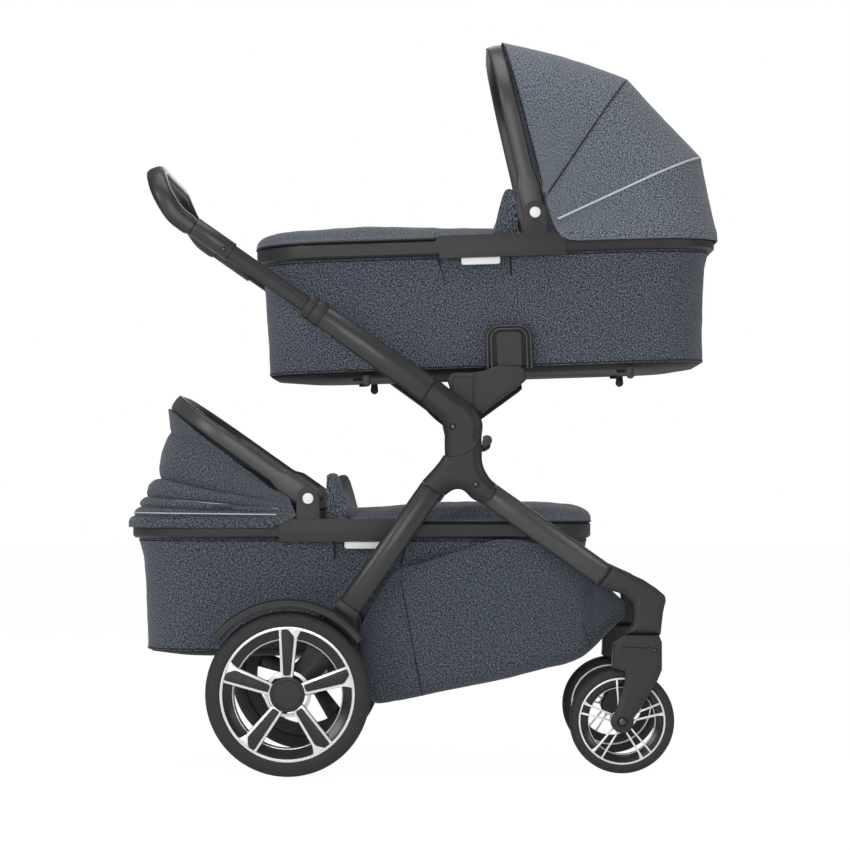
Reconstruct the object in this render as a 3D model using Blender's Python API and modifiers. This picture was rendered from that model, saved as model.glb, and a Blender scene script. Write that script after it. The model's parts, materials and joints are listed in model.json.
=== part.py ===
"""Twin stroller: a folding frame that carries two carrycots, one above the other.

Metres, +Z up, +X forward. The origin is on the floor, in the middle of the overall box.
The right side of the object is -Y and the left side is +Y.
"""

import math

import bmesh
import bpy
from mathutils import Matrix, Vector

# Running clearance between neighbours, and how round things are
GAP = 0.0003
ROUND_SIDES = 16
OVAL_SIDES = 18
WHEEL_STEPS = 28
SIDES = (("right", -1), ("left", 1))

# The carrycots stand between the two side frames, so their width sets the frame's width and the wheels' tracks
COT_HALF_WIDTH = 0.2125
FRAME_CLEARANCE = 0.0325
FRAME_HALF = COT_HALF_WIDTH + FRAME_CLEARANCE

# Rear wheels and their axle
REAR_AXLE_X = -0.2265
REAR_RADIUS = 0.140
REAR_TYRE_WIDTH = 0.042
REAR_TYRE_HEIGHT = 0.0257
REAR_RIM_WALL = 0.020
REAR_HUB_RADIUS = 0.030
REAR_TRACK_OUT = 0.027
REAR_TRACK_HALF = FRAME_HALF + REAR_TRACK_OUT
REAR_AXLE_RADIUS = 0.011
STUB_RADIUS = 0.006
SPOKE_COUNT = 5
FIRST_SPOKE_ANGLE = 90.0

# Front wheels, their forks and the swivel
SWIVEL_X = 0.3756
FRONT_TRACK_IN = 0.045
SWIVEL_HALF = FRAME_HALF - FRONT_TRACK_IN
TRAIL = 0.0333
FRONT_RADIUS = 0.090
FRONT_TYRE_WIDTH = 0.030
FRONT_TYRE_HEIGHT = 0.0155
FRONT_RIM_WALL = 0.0165
FRONT_HUB_RADIUS = 0.0145
BOLT_RADIUS = 0.004
BLADE_GAP = 0.0025
BLADE_THICKNESS = 0.007
FORK_HEIGHT = 0.2370
STEM_RADIUS = 0.008
STEM_LENGTH = 0.036

# Fold pivots and the joint castings
FOLD_PIVOT = (0.0535, 0.5933)
LEG_PIVOT = (0.0926, 0.4948)
CASTING_THICKNESS = 0.034
CASTING_EDGE = 0.004
FOLD_ARC_RADIUS = 0.0505
LEG_ARC_RADIUS = 0.0340
PIN_RADIUS = 0.005
EAR_THICKNESS = 0.005
EAR_RADIUS = 0.018

# Legs
LEG_TALL = 0.042
LEG_THICK = 0.024
REAR_LEG_TOP = (0.0176, 0.4881)
REAR_LEG_FOOT = (0.1042, 0.1477)
FRONT_LEG_FOOT = (-0.0607, 0.1004)
BRACKET_THICKNESS = 0.016
BOOT_LENGTH = 0.015
STUB_REACH = 0.010
CROSS_TUBE_RADIUS = 0.011
CROSS_TUBE_FROM_SWIVEL = (0.0263, 0.2880)

# Arms and handle
ARM_ANGLE = 35.0
ARM_SEAM = (-0.0401, 0.0612)
ARM_LENGTH = 0.255
ARM_TALL_LOW = 0.048
ARM_TALL_HIGH = 0.039
ARM_THICK = 0.024
ARM_BORE_TALL = 0.0290
ARM_BORE_THICK = 0.0170
ARM_FLOOR = 0.012
SLIDE_CLEARANCE = 0.0004
HANDLE_INSIDE = 0.150
HANDLE_OUTSIDE = 0.1590
SLEEVE_LENGTH = 0.0770
SLEEVE_TALL = 0.0340
SLEEVE_THICK = 0.026
GRIP_RADIUS = 0.0165
GRIP_RISE = 0.091
GRIP_REACH = 0.072

# Fenders
FENDER_RADIUS = 0.1615
FENDER_SHEET = 0.003
FENDER_LIP = 0.0145
FENDER_HALF_WIDTH = 0.0225
FENDER_START = 36.0
FENDER_END = 143.0
FENDER_STEPS = 11

# Carrycot: measures from the middle of its rim, hood end at +x, before it is tilted
COT_HALF_LENGTH = 0.402
COT_CORNER = 0.120
RIM_HALF_HEIGHT = 0.014
RIM_WIDTH = 0.018
TUB_DEPTH = 0.2083
TUB_WALL = 0.005
FOOT_DRAW = 0.8
HOOD_DRAW = 1.3
BASE_DEPTH = 0.009
CASING_FOOT = -0.080
CASING_HOOD = 0.137
CASING_HALF_HEIGHT = 0.01975
CASING_PROUD = 0.004
CASING_WALL = 0.012
HANDLE_HALF_LENGTH = 0.0335
HANDLE_MIDDLE = -0.009
HANDLE_HANG = 0.012
HANDLE_THICKNESS = 0.0075
HANDLE_TRAVEL = 0.006
SOCKET_X = 0.0350
SOCKET_HALF_WIDTH = 0.041
SOCKET_TOP = 0.136
SOCKET_FLOOR = 0.2066
TONGUE_HALF_WIDTH = 0.0206
TONGUE_TOP = 0.150
TONGUE_THICKNESS = 0.0062
SOCKET_WALL = 0.0044
SOCKET_IN = 0.0193
SOCKET_INNER = COT_HALF_WIDTH - SOCKET_IN
POCKET_DEPTH = 0.009
HOOD_PIVOT = (0.087, 0.0545)
POST_HALF_WIDTH = 0.020
POST_THICKNESS = 0.013
BUTTON_RADIUS = 0.0095
BUTTON_THICKNESS = 0.007
BUTTON_PROUD = 0.002
BUTTON_TRAVEL = 0.003
BOW_IN = 0.0145
BOW_HALF_SPAN = COT_HALF_WIDTH - BOW_IN
BOW_CORNER = 0.120
BOW_WIDTH = 0.028
BOW_THICKNESS = 0.010
BOW_FOOT_WIDTH = 0.041
BOW_FOOT_LENGTH = 0.066
HOOD_SHEET = 0.003
COVER_END = 0.058
COVER_CROWN = 0.030
COVER_SHEET = 0.004
COVER_EDGE = 0.002
MATTRESS_HEIGHT = 0.035
FOOT_PEG_RADIUS = 0.008
FOOT_PEG_IN = (0.172, 0.0825)
FOOT_PEG_HEIGHT = 0.008

# Where the two carrycots stand, and how far each hood is open
UPPER_COT_AT = (0.1091, 0.9055)
UPPER_COT_TILT = 1.8
UPPER_BOW_ANGLE = -11.2
UPPER_BOW_REACH = 0.310
LOWER_COT_AT = (-0.1087, 0.4165)
LOWER_COT_TILT = 0.0
LOWER_BOW_ANGLE = 54.7
LOWER_BOW_REACH = 0.292

# Basket, its straps, the adapters and the fold latches
BASKET_WALL = 0.003
STRAP_RADIUS = 0.008
STRAP_IN = 0.0300
STRAP_THICKNESS = 0.0045
STRAP_PIN_IN = 0.0270
FRONT_STRAP_IN = 0.0460
FRONT_STRAP_LENGTH = 0.0078
STRAP_FRONT = (-0.0679, 0.300)
STRAP_REAR = (-0.1039, 0.300)
FRONT_STRAP = (0.2627, 0.358)
LATCH_TRAVEL = 0.005

HOLDER_AT = {}


def clear_scene():
    for thing in list(bpy.data.objects):
        bpy.data.objects.remove(thing, do_unlink=True)


def new_collection(name):
    collection = bpy.data.collections.new(name)
    bpy.context.scene.collection.children.link(collection)
    return collection


def finish(name, colour, roughness, metallic=0.0):
    """A Principled material, made once for each name."""
    made = bpy.data.materials.get(name)
    if made:
        return made
    made = bpy.data.materials.new(name)
    made.use_nodes = True
    shader = made.node_tree.nodes["Principled BSDF"]
    shader.inputs["Base Color"].default_value = (*colour, 1.0)
    shader.inputs["Roughness"].default_value = roughness
    shader.inputs["Metallic"].default_value = metallic
    return made


def charcoal_frame():
    return finish("charcoal_frame", (0.052, 0.052, 0.055), 0.45, 0.5)


def charcoal_plastic():
    return finish("charcoal_plastic", (0.045, 0.045, 0.047), 0.55)


def black_plastic():
    return finish("black_plastic", (0.012, 0.012, 0.013), 0.5)


def grip_leatherette():
    return finish("grip_leatherette", (0.035, 0.033, 0.032), 0.65)


def tyre_rubber():
    return finish("tyre_rubber", (0.040, 0.040, 0.041), 0.85)


def silver_and_black_rim():
    return finish("wheel_rim", (0.55, 0.55, 0.56), 0.3, 0.8)


def white_plastic():
    return finish("white_plastic", (0.80, 0.80, 0.79), 0.4)


def slate_fabric():
    return finish("slate_fabric", (0.062, 0.075, 0.095), 0.95)


def lining_fabric():
    return finish("lining_fabric", (0.40, 0.40, 0.41), 0.95)


def holder(name, at, parent=None, turn=None):
    """An empty that carries one moving body. Its place is given where its parent's pieces are measured."""
    empty = bpy.data.objects.new(name, None)
    empty.empty_display_size = 0.03
    PARTS.objects.link(empty)
    empty.parent = parent
    base = HOLDER_AT[parent.name] if parent else Vector((0.0, 0.0, 0.0))
    empty.location = Vector(at) - base
    HOLDER_AT[name] = Vector(at)
    if turn is not None:
        empty.rotation_euler = turn
        HOLDER_AT[name] = Vector((0.0, 0.0, 0.0))
    return empty


def hang(thing, carrier, turn=None):
    """Puts a mesh on its holder. A turned piece is already made about the holder's own point."""
    if turn is None:
        thing.data.transform(Matrix.Translation(-HOLDER_AT[carrier.name]))
    else:
        thing.rotation_euler = turn
    thing.parent = carrier


def smooth(mesh, angle=35.0):
    mesh.shade_smooth()
    mesh.set_sharp_from_angle(angle=math.radians(angle))


def piece(name, shape, look, carrier, steps=(), turn=None):
    """Names a shape, gives it its finish and its holder, then joins and cuts helpers in their order."""
    shape.name = name
    shape.data.name = name
    shape.data.materials.clear()
    shape.data.materials.append(look)
    PARTS.objects.link(shape)
    hang(shape, carrier, turn)
    for number, (operation, helper) in enumerate(steps):
        helper.name = f"{name}_{operation.lower()}_{number}"
        helper.display_type = "WIRE"
        helper.hide_render = True
        HELPERS.objects.link(helper)
        hang(helper, carrier, turn)
        step = shape.modifiers.new(helper.name, "BOOLEAN")
        step.operation = operation
        step.solver = "EXACT"
        step.object = helper
    smooth(shape.data)
    return shape


def join(*helpers):
    return [("UNION", helper) for helper in helpers]


def cut(*helpers):
    return [("DIFFERENCE", helper) for helper in helpers]


def loose_object(mesh):
    return bpy.data.objects.new(mesh.name, mesh)


def from_bmesh(shape):
    """A new object from a bmesh whose faces are turned outwards."""
    bmesh.ops.remove_doubles(shape, verts=shape.verts, dist=1e-6)
    bmesh.ops.recalc_face_normals(shape, faces=shape.faces)
    mesh = bpy.data.meshes.new("shape")
    shape.to_mesh(mesh)
    shape.free()
    return loose_object(mesh)


def block(low, high):
    """A box between two corners."""
    shape = bmesh.new()
    bmesh.ops.create_cube(shape, size=1.0)
    low, high = Vector(low), Vector(high)
    scale = Matrix.Diagonal((*(high - low), 1.0))
    bmesh.ops.transform(shape, matrix=Matrix.Translation((low + high) / 2) @ scale, verts=shape.verts)
    return from_bmesh(shape)


def rod(start, end, radius, sides=ROUND_SIDES, end_radius=None):
    """A round bar, or a cone, between two points."""
    start, end = Vector(start), Vector(end)
    along = end - start
    shape = bmesh.new()
    bmesh.ops.create_cone(
        shape,
        cap_ends=True,
        segments=sides,
        radius1=radius,
        radius2=radius if end_radius is None else end_radius,
        depth=along.length,
    )
    turn = along.to_track_quat("Z", "Y").to_matrix().to_4x4()
    bmesh.ops.transform(shape, matrix=Matrix.Translation((start + end) / 2) @ turn, verts=shape.verts)
    return from_bmesh(shape)


def loft(rings, closed_path=False):
    """Skins a row of rings of equally many points, and caps both ends unless the row closes on itself."""
    shape = bmesh.new()
    rows = [[shape.verts.new(point) for point in ring] for ring in rings]
    count = len(rows[0])
    pairs = list(zip(rows, rows[1:]))
    if closed_path:
        pairs.append((rows[-1], rows[0]))
    for before, after in pairs:
        for k in range(count):
            n = (k + 1) % count
            shape.faces.new((before[k], before[n], after[n], after[k]))
    if not closed_path:
        shape.faces.new(list(reversed(rows[0])))
        shape.faces.new(rows[-1])
    return from_bmesh(shape)


def evaluated_copy(thing):
    """A mesh object of what the modifiers or the curve make, with its loose caps welded."""
    bpy.context.scene.collection.objects.link(thing)
    bpy.context.view_layer.update()
    graph = bpy.context.evaluated_depsgraph_get()
    mesh = bpy.data.meshes.new_from_object(thing.evaluated_get(graph))
    mesh.transform(thing.matrix_world)
    bpy.data.objects.remove(thing, do_unlink=True)
    shape = bmesh.new()
    shape.from_mesh(mesh)
    bmesh.ops.remove_doubles(shape, verts=shape.verts, dist=1e-6)
    bmesh.ops.recalc_face_normals(shape, faces=shape.faces)
    shape.to_mesh(mesh)
    shape.free()
    return loose_object(mesh)


def sheet(rows, thickness, offset):
    """A thin wall from a grid of points; offset says on which side of the grid it lies."""
    shape = bmesh.new()
    grid = [[shape.verts.new(point) for point in row] for row in rows]
    for before, after in zip(grid, grid[1:]):
        for k in range(len(before) - 1):
            shape.faces.new((before[k], before[k + 1], after[k + 1], after[k]))
    mesh = bpy.data.meshes.new("shape")
    shape.to_mesh(mesh)
    shape.free()
    thing = loose_object(mesh)
    wall = thing.modifiers.new("wall", "SOLIDIFY")
    wall.thickness = thickness
    wall.offset = offset
    return evaluated_copy(thing)


def plate(outline, low_y, high_y, edge=0.0):
    """A flat outline in x and z, as thick as low_y to high_y, with edges rounded by edge."""
    curve = bpy.data.curves.new("outline", "CURVE")
    curve.dimensions = "2D"
    curve.fill_mode = "BOTH"
    line = curve.splines.new("POLY")
    line.points.add(len(outline) - 1)
    for point, (x, z) in zip(line.points, outline):
        point.co = (x, z, 0.0, 1.0)
    line.use_cyclic_u = True
    curve.extrude = (high_y - low_y) / 2 - edge
    curve.bevel_depth = edge
    curve.bevel_resolution = 0
    curve.offset = -edge
    thing = bpy.data.objects.new("outline", curve)
    thing.rotation_euler = (math.radians(90), 0.0, 0.0)
    thing.location = (0.0, (low_y + high_y) / 2, 0.0)
    return evaluated_copy(thing)


def arc(centre, radius, start, end, steps):
    """Points on an arc in x and z, angles in degrees from +X towards +Z."""
    angles = [math.radians(start + (end - start) * k / steps) for k in range(steps + 1)]
    return [(centre[0] + radius * math.cos(a), centre[1] + radius * math.sin(a)) for a in angles]


def oval_ring(centre, along, tall, thick, sides=OVAL_SIDES):
    """An oval across a direction: tall in the side view, thick along Y."""
    along = Vector(along).normalized()
    up = Vector((0.0, 1.0, 0.0)).cross(along).normalized()
    out = along.cross(up).normalized()
    ring = []
    for k in range(sides):
        a = 2 * math.pi * k / sides
        ring.append(Vector(centre) + up * (tall / 2 * math.cos(a)) + out * (thick / 2 * math.sin(a)))
    return ring


def oval_tube(start, end, tall, thick, end_tall=None):
    start, end = Vector(start), Vector(end)
    along = end - start
    last = tall if end_tall is None else end_tall
    return loft([oval_ring(start, along, tall, thick), oval_ring(end, along, last, thick)])


def turned(profile, steps):
    """A closed ring turned about Z from a closed profile of (radius, height), outer side running down."""
    mesh = bpy.data.meshes.new("profile")
    edges = [(k, (k + 1) % len(profile)) for k in range(len(profile))]
    mesh.from_pydata([(radius, 0.0, height) for radius, height in profile], edges, [])
    thing = loose_object(mesh)
    turn = thing.modifiers.new("turn", "SCREW")
    turn.steps = steps
    turn.render_steps = steps
    turn.use_merge_vertices = True
    turn.merge_threshold = 0.00001
    return evaluated_copy(thing)


def face_out(side):
    """The turn that stands a wheel part, made about Z with its outer face up, on its side of the frame."""
    return (math.radians(-90 * side), 0.0, 0.0)


def offset_point(point, move):
    return (point[0] + move[0], point[1] + move[1])


def unit(angle):
    return (math.cos(math.radians(angle)), math.sin(math.radians(angle)))


def span(side, inner, outer):
    """The two y values of a layer on one side, lowest first, from distances to the middle plane."""
    return sorted((side * inner, side * outer))


def casting_layer(side):
    return span(side, FRAME_HALF - CASTING_THICKNESS / 2, FRAME_HALF + CASTING_THICKNESS / 2)


def inner_face():
    """Distance from the middle plane to the inner face of the castings."""
    return FRAME_HALF - CASTING_THICKNESS / 2


def capsule(start, end, radius, steps=5):
    """A round-ended bar outline between two points in x and z."""
    angle = math.degrees(math.atan2(end[1] - start[1], end[0] - start[0]))
    first = arc(start, radius, angle + 90, angle + 270, steps)
    last = arc(end, radius, angle - 90, angle + 90, steps)
    return first + last


def rear_leg_line():
    """The rear leg's top and foot in x and z: the foot keeps its place above the rear axle."""
    foot = offset_point((REAR_AXLE_X, REAR_RADIUS), REAR_LEG_FOOT)
    return REAR_LEG_TOP, foot


def across(start, end, half_width):
    """Half a width across a line in x and z, to its right-hand side when walking from start to end."""
    x, z = end[0] - start[0], end[1] - start[1]
    length = math.hypot(x, z)
    return (z / length * half_width, -x / length * half_width)


def arm_direction():
    return (-unit(ARM_ANGLE)[0], unit(ARM_ANGLE)[1])


def arm_point(distance):
    """A point on the arm's middle line, a distance up from the casting's seam."""
    seam = offset_point(FOLD_PIVOT, ARM_SEAM)
    u = arm_direction()
    return (seam[0] + u[0] * distance, seam[1] + u[1] * distance)


def pin(point, inner, outer, side, radius, sides=ROUND_SIDES):
    return rod((point[0], side * inner, point[1]), (point[0], side * outer, point[1]), radius, sides)


def arm_casting(side, tag, carrier):
    """The joint casting at the arm's lower end, round about the fold pivot."""
    u = arm_direction()
    normal = (u[1], -u[0])
    seam = arm_point(-GAP)
    half = ARM_TALL_LOW / 2
    lower = offset_point(seam, (-normal[0] * half, -normal[1] * half))
    upper = offset_point(seam, (normal[0] * half, normal[1] * half))
    crown = [(0.0118, 0.0508), (0.0323, 0.0372), (0.0442, 0.0218)]
    throat = [(-0.0138, -0.0055), (-0.0155, 0.0048), (-0.0223, 0.0133), (-0.0393, 0.0269)]
    outline = [upper] + [offset_point(FOLD_PIVOT, p) for p in crown]
    outline += arc(FOLD_PIVOT, FOLD_ARC_RADIUS, 8, -106, 14)
    outline += [offset_point(FOLD_PIVOT, p) for p in throat] + [lower]
    low, high = casting_layer(side)
    body = plate(outline, low, high, CASTING_EDGE)
    bore = pin(FOLD_PIVOT, inner_face() - 0.01, FRAME_HALF + 0.03, side, PIN_RADIUS + GAP)
    return piece(f"arm_casting_{tag}", body, charcoal_frame(), carrier, cut(bore))


def joint_casting(side, tag, carrier):
    """The joint casting that holds both legs, with the ear and pin that carry the arm casting."""
    top, foot = rear_leg_line()
    seam_left = offset_point(top, across(top, foot, -LEG_TALL / 2))
    seam_right = offset_point(top, across(top, foot, LEG_TALL / 2))
    seam_left, seam_right = sorted((seam_left, seam_right))
    outline = arc(FOLD_PIVOT, FOLD_ARC_RADIUS + GAP, -114, -16, 12)
    outline += [offset_point(LEG_PIVOT, p) for p in [(0.0102, 0.0368), (0.0154, 0.0248), (0.0256, 0.0100)]]
    outline += arc(LEG_PIVOT, LEG_ARC_RADIUS, 2, -72, 8)
    outline += [offset_point(LEG_PIVOT, p) for p in [(-0.0102, -0.0212), (-0.0273, -0.0076), (-0.0443, -0.0093)]]
    outline += [seam_right, seam_left, offset_point(LEG_PIVOT, (-0.0682, 0.0317))]
    outline += [offset_point(LEG_PIVOT, (-0.0580, 0.0470))]
    low, high = casting_layer(side)
    body = plate(outline, low, high, CASTING_EDGE)
    ear_line = capsule(FOLD_PIVOT, offset_point(FOLD_PIVOT, (0.0144, -0.062)), EAR_RADIUS)
    ear = plate(ear_line, *span(side, inner_face() - GAP - EAR_THICKNESS, inner_face() - GAP))
    bridge_line = capsule(offset_point(FOLD_PIVOT, (0.0135, -0.067)), offset_point(FOLD_PIVOT, (0.0144, -0.0645)), 0.012)
    bridge = plate(bridge_line, *span(side, inner_face() - GAP - EAR_THICKNESS + 0.001, FRAME_HALF))
    axle = pin(FOLD_PIVOT, inner_face() - EAR_THICKNESS, FRAME_HALF + CASTING_THICKNESS / 2, side, PIN_RADIUS)
    bore = pin(LEG_PIVOT, inner_face() - 0.01, FRAME_HALF + 0.03, side, PIN_RADIUS + GAP)
    return piece(f"joint_casting_{tag}", body, charcoal_frame(), carrier, join(ear, bridge, axle) + cut(bore))


def arm_tube(side, tag, carrier):
    """The fixed arm: an oval tube with an oval bore for the handle tube."""
    u = arm_direction()
    y = side * FRAME_HALF
    along = (u[0], 0.0, u[1])

    def ring(distance, tall, thick):
        x, z = arm_point(distance)
        return oval_ring((x, y, z), along, tall, thick)

    body = loft([
        ring(0.0, ARM_TALL_LOW, ARM_THICK),
        ring(ARM_LENGTH, ARM_TALL_HIGH, ARM_THICK),
        ring(ARM_LENGTH, ARM_BORE_TALL, ARM_BORE_THICK),
        ring(ARM_FLOOR, ARM_BORE_TALL, ARM_BORE_THICK),
    ])
    return piece(f"arm_tube_{tag}", body, charcoal_frame(), carrier)


def sleeve_end():
    return ARM_LENGTH + HANDLE_OUTSIDE + SLEEVE_LENGTH


def handle_tube(side, tag, carrier):
    """The sliding handle tube, with the sleeve that holds the handlebar's end."""
    u = arm_direction()
    y = side * FRAME_HALF
    along = (u[0], 0.0, u[1])
    tall = ARM_BORE_TALL - 2 * SLIDE_CLEARANCE
    thick = ARM_BORE_THICK - 2 * SLIDE_CLEARANCE
    collar = ARM_LENGTH + HANDLE_OUTSIDE

    def ring(distance, ring_tall, ring_thick):
        x, z = arm_point(distance)
        return oval_ring((x, y, z), along, ring_tall, ring_thick)

    body = loft([
        ring(ARM_LENGTH - HANDLE_INSIDE, tall, thick),
        ring(collar, tall, thick),
        ring(collar, SLEEVE_TALL, SLEEVE_THICK),
        ring(sleeve_end(), SLEEVE_TALL, SLEEVE_THICK),
    ])
    return piece(f"handle_tube_{tag}", body, charcoal_frame(), carrier)


def handlebar(carrier):
    """The padded loop that joins both sleeves: it leaves along the arms, rises and crosses over."""
    u = arm_direction()
    start = arm_point(sleeve_end() + GAP)
    half = FRAME_HALF
    path = [
        (0.0, 0.0, half),
        (0.026, 0.017, half),
        (0.046, 0.037, half - 0.004),
        (0.060, 0.062, half - 0.018),
        (0.069, 0.083, half - 0.050),
        (GRIP_REACH, GRIP_RISE, half - 0.105),
        (GRIP_REACH, GRIP_RISE, 0.0),
    ]
    points = [(start[0] - x, -y, start[1] + z) for x, z, y in path]
    points += [(x, -y, z) for x, y, z in reversed(points[:-1])]
    curve = bpy.data.curves.new("handlebar", "CURVE")
    curve.dimensions = "3D"
    curve.bevel_depth = GRIP_RADIUS
    curve.bevel_resolution = 2
    curve.resolution_u = 3
    curve.use_fill_caps = True
    line = curve.splines.new("BEZIER")
    line.bezier_points.add(len(points) - 1)
    for knot, point in zip(line.bezier_points, points):
        knot.co = point
        knot.handle_left_type = "AUTO"
        knot.handle_right_type = "AUTO"
    reach = 0.009
    for knot, sign in ((line.bezier_points[0], -1), (line.bezier_points[-1], 1)):
        step = Vector((u[0], 0.0, u[1])) * reach
        knot.handle_left_type = "FREE"
        knot.handle_right_type = "FREE"
        knot.handle_left = knot.co + step * sign
        knot.handle_right = knot.co - step * sign
    body = evaluated_copy(bpy.data.objects.new("handlebar", curve))
    return piece("handlebar", body, grip_leatherette(), carrier)


def rear_leg(side, tag, carrier):
    top, foot = rear_leg_line()
    start = Vector((top[0], side * FRAME_HALF, top[1]))
    end = Vector((foot[0], side * FRAME_HALF, foot[1]))
    step = (end - start).normalized() * GAP
    body = oval_tube(start + step, end, LEG_TALL, LEG_THICK)
    return piece(f"rear_leg_{tag}", body, charcoal_frame(), carrier)


def bracket_outer():
    return FRAME_HALF - LEG_THICK / 2 + BRACKET_THICKNESS


def rear_axle(carrier):
    """The cross axle, with a bracket up to each rear leg and a stub for each wheel."""
    top, foot = rear_leg_line()
    centre = (REAR_AXLE_X, REAR_RADIUS)
    inner = FRAME_HALF - LEG_THICK / 2
    edge = across(top, foot, LEG_TALL / 2)
    back = (-edge[0], -edge[1])
    way = Vector((foot[0] - top[0], foot[1] - top[1])).normalized()
    seat = offset_point(foot, way * GAP)
    shin = offset_point(foot, way * BOOT_LENGTH)
    body = rod((centre[0], -inner - 0.004, centre[1]), (centre[0], inner + 0.004, centre[1]), REAR_AXLE_RADIUS)
    helpers = []
    for side in (-1, 1):
        outline = [offset_point(seat, edge), offset_point(seat, back), offset_point(centre, (0.092, 0.070))]
        outline += list(reversed(arc(centre, 0.021, 150, 330, 8)))
        outline += [offset_point(centre, (0.030, 0.075))]
        helpers.append(plate(outline, *span(side, inner, bracket_outer())))
        boot = [offset_point(seat, edge), offset_point(seat, back), offset_point(shin, back), offset_point(shin, edge)]
        helpers.append(plate(boot, *span(side, inner + 0.001, inner + LEG_THICK)))
        helpers.append(pin(centre, inner, REAR_TRACK_HALF + STUB_REACH, side, STUB_RADIUS))
    return piece("rear_axle", body, black_plastic(), carrier, join(*helpers))


def brake_pedal(carrier):
    """A sleeve round the rear axle with a foot plate behind it."""
    centre = (REAR_AXLE_X, REAR_RADIUS)
    half = 0.032
    inner = REAR_AXLE_RADIUS + 2 * GAP
    outer = inner + 0.006

    def ring(y, radius):
        return [(x, y, z) for x, z in arc(centre, radius, 0, 345, ROUND_SIDES - 1)]

    body = loft([ring(-half, outer), ring(half, outer), ring(half, inner), ring(-half, inner)], True)
    shape = [(-0.012, 0.004), (-0.060, -0.004), (-0.078, -0.002), (-0.078, 0.004), (-0.060, 0.004), (-0.014, 0.012)]
    foot_plate = plate([offset_point(centre, p) for p in shape], -half * 0.8, half * 0.8)
    return piece("brake_pedal", body, black_plastic(), carrier, join(foot_plate))


def tyre_profile(radius, height, width):
    """Outer side running down: a rounded tread over straight side walls."""
    half = width / 2
    seat = radius - height
    side = [(radius - height * 0.18, half * 0.86), (radius, half * 0.36)]
    lower = [(r, -h) for r, h in reversed(side)]
    return [(seat, half * 0.80), (seat + height * 0.45, half)] + side + lower + [
        (seat + height * 0.45, -half), (seat, -half * 0.80)]


def tyre(name, radius, height, width, side, carrier):
    body = turned(tyre_profile(radius, height, width), WHEEL_STEPS)
    return piece(name, body, tyre_rubber(), carrier, turn=face_out(side))


def spoke(inner, outer, inner_half, outer_half, low, high, angle, shift=0.0):
    """A straight spoke between two radii, tapering in its plane."""
    corners = []
    for height in (low, high):
        corners.append([
            (inner, -inner_half + shift, height), (outer, -outer_half + shift, height),
            (outer, outer_half + shift, height), (inner, inner_half + shift, height)])
    body = loft(corners)
    body.data.transform(Matrix.Rotation(math.radians(angle), 4, "Z"))
    return body


def merged(things):
    """Several separate helpers as one mesh, for a single union."""
    shape = bmesh.new()
    for thing in things:
        shape.from_mesh(thing.data)
        bpy.data.objects.remove(thing, do_unlink=True)
    return from_bmesh(shape)


def rear_rim(tag, side, carrier):
    """The rim's barrel, five broad tapering spokes and a hub with a blind bore for the axle stub."""
    seat = REAR_RADIUS - REAR_TYRE_HEIGHT - GAP
    inner = seat - REAR_RIM_WALL
    half = REAR_TYRE_WIDTH / 2 - 0.004
    profile = [(seat, half), (seat, -half), (inner + 0.010, -half), (inner + 0.010, half - 0.010), (inner, half - 0.004), (inner + 0.003, half)]
    body = turned(profile, WHEEL_STEPS)
    spokes = [
        spoke(REAR_HUB_RADIUS - 0.006, seat - 0.006, 0.007, 0.012, half - 0.014, half - 0.003,
              FIRST_SPOKE_ANGLE + 360 / SPOKE_COUNT * k)
        for k in range(SPOKE_COUNT)
    ]
    hub = rod((0, 0, -half + 0.002), (0, 0, half), REAR_HUB_RADIUS)
    bore = rod((0, 0, -half - 0.01), (0, 0, half - 0.006), STUB_RADIUS + GAP)
    steps = join(merged(spokes), hub) + cut(bore)
    return piece(f"rear_rim_{tag}", body, silver_and_black_rim(), carrier, steps, face_out(side))


def front_rim(tag, side, carrier):
    """The front rim: a barrel, five pairs of thin spokes and a bored hub."""
    seat = FRONT_RADIUS - FRONT_TYRE_HEIGHT - GAP
    inner = seat - FRONT_RIM_WALL
    half = FRONT_TYRE_WIDTH / 2 - 0.002
    profile = [(seat, half), (seat, -half), (inner + 0.009, -half), (inner + 0.009, half - 0.007), (inner, half - 0.004), (inner + 0.002, half)]
    body = turned(profile, WHEEL_STEPS)
    spokes = []
    for k in range(SPOKE_COUNT):
        for shift in (-0.0062, 0.0062):
            spokes.append(spoke(FRONT_HUB_RADIUS - 0.005, seat - 0.006, 0.0016, 0.0022, half - 0.011, half - 0.003,
                                FIRST_SPOKE_ANGLE + 360 / SPOKE_COUNT * k, shift))
    hub = rod((0, 0, -half), (0, 0, half), FRONT_HUB_RADIUS)
    bore = rod((0, 0, -half - 0.01), (0, 0, half + 0.01), BOLT_RADIUS + GAP)
    steps = join(merged(spokes), hub) + cut(bore)
    return piece(f"front_rim_{tag}", body, silver_and_black_rim(), carrier, steps, face_out(side))


def fender(side, tag, carrier):
    """A channel bent round the rear wheel: a top sheet with a lip down each side."""
    centre = (REAR_AXLE_X, REAR_RADIUS)
    half = FENDER_HALF_WIDTH
    outer, inner, lip = FENDER_RADIUS, FENDER_RADIUS - FENDER_SHEET, FENDER_RADIUS - FENDER_LIP
    wall = FENDER_SHEET
    section = [
        (-half, lip), (-half, outer - 0.004), (-half + 0.006, outer), (half - 0.006, outer), (half, outer - 0.004),
        (half, lip), (half - wall, lip), (half - wall, inner), (-half + wall, inner), (-half + wall, lip)]
    rings = []
    for k in range(FENDER_STEPS + 1):
        c, s = unit(FENDER_START + (FENDER_END - FENDER_START) * k / FENDER_STEPS)
        middle = side * REAR_TRACK_HALF
        rings.append([(centre[0] + r * c, middle + y, centre[1] + r * s) for y, r in section])
    return piece(f"rear_fender_{tag}", loft(rings), black_plastic(), carrier)


def housing_seam():
    """Where the front leg meets its housing, in x and z."""
    return (SWIVEL_X + FRONT_LEG_FOOT[0], FORK_HEIGHT + FRONT_LEG_FOOT[1])


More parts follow.
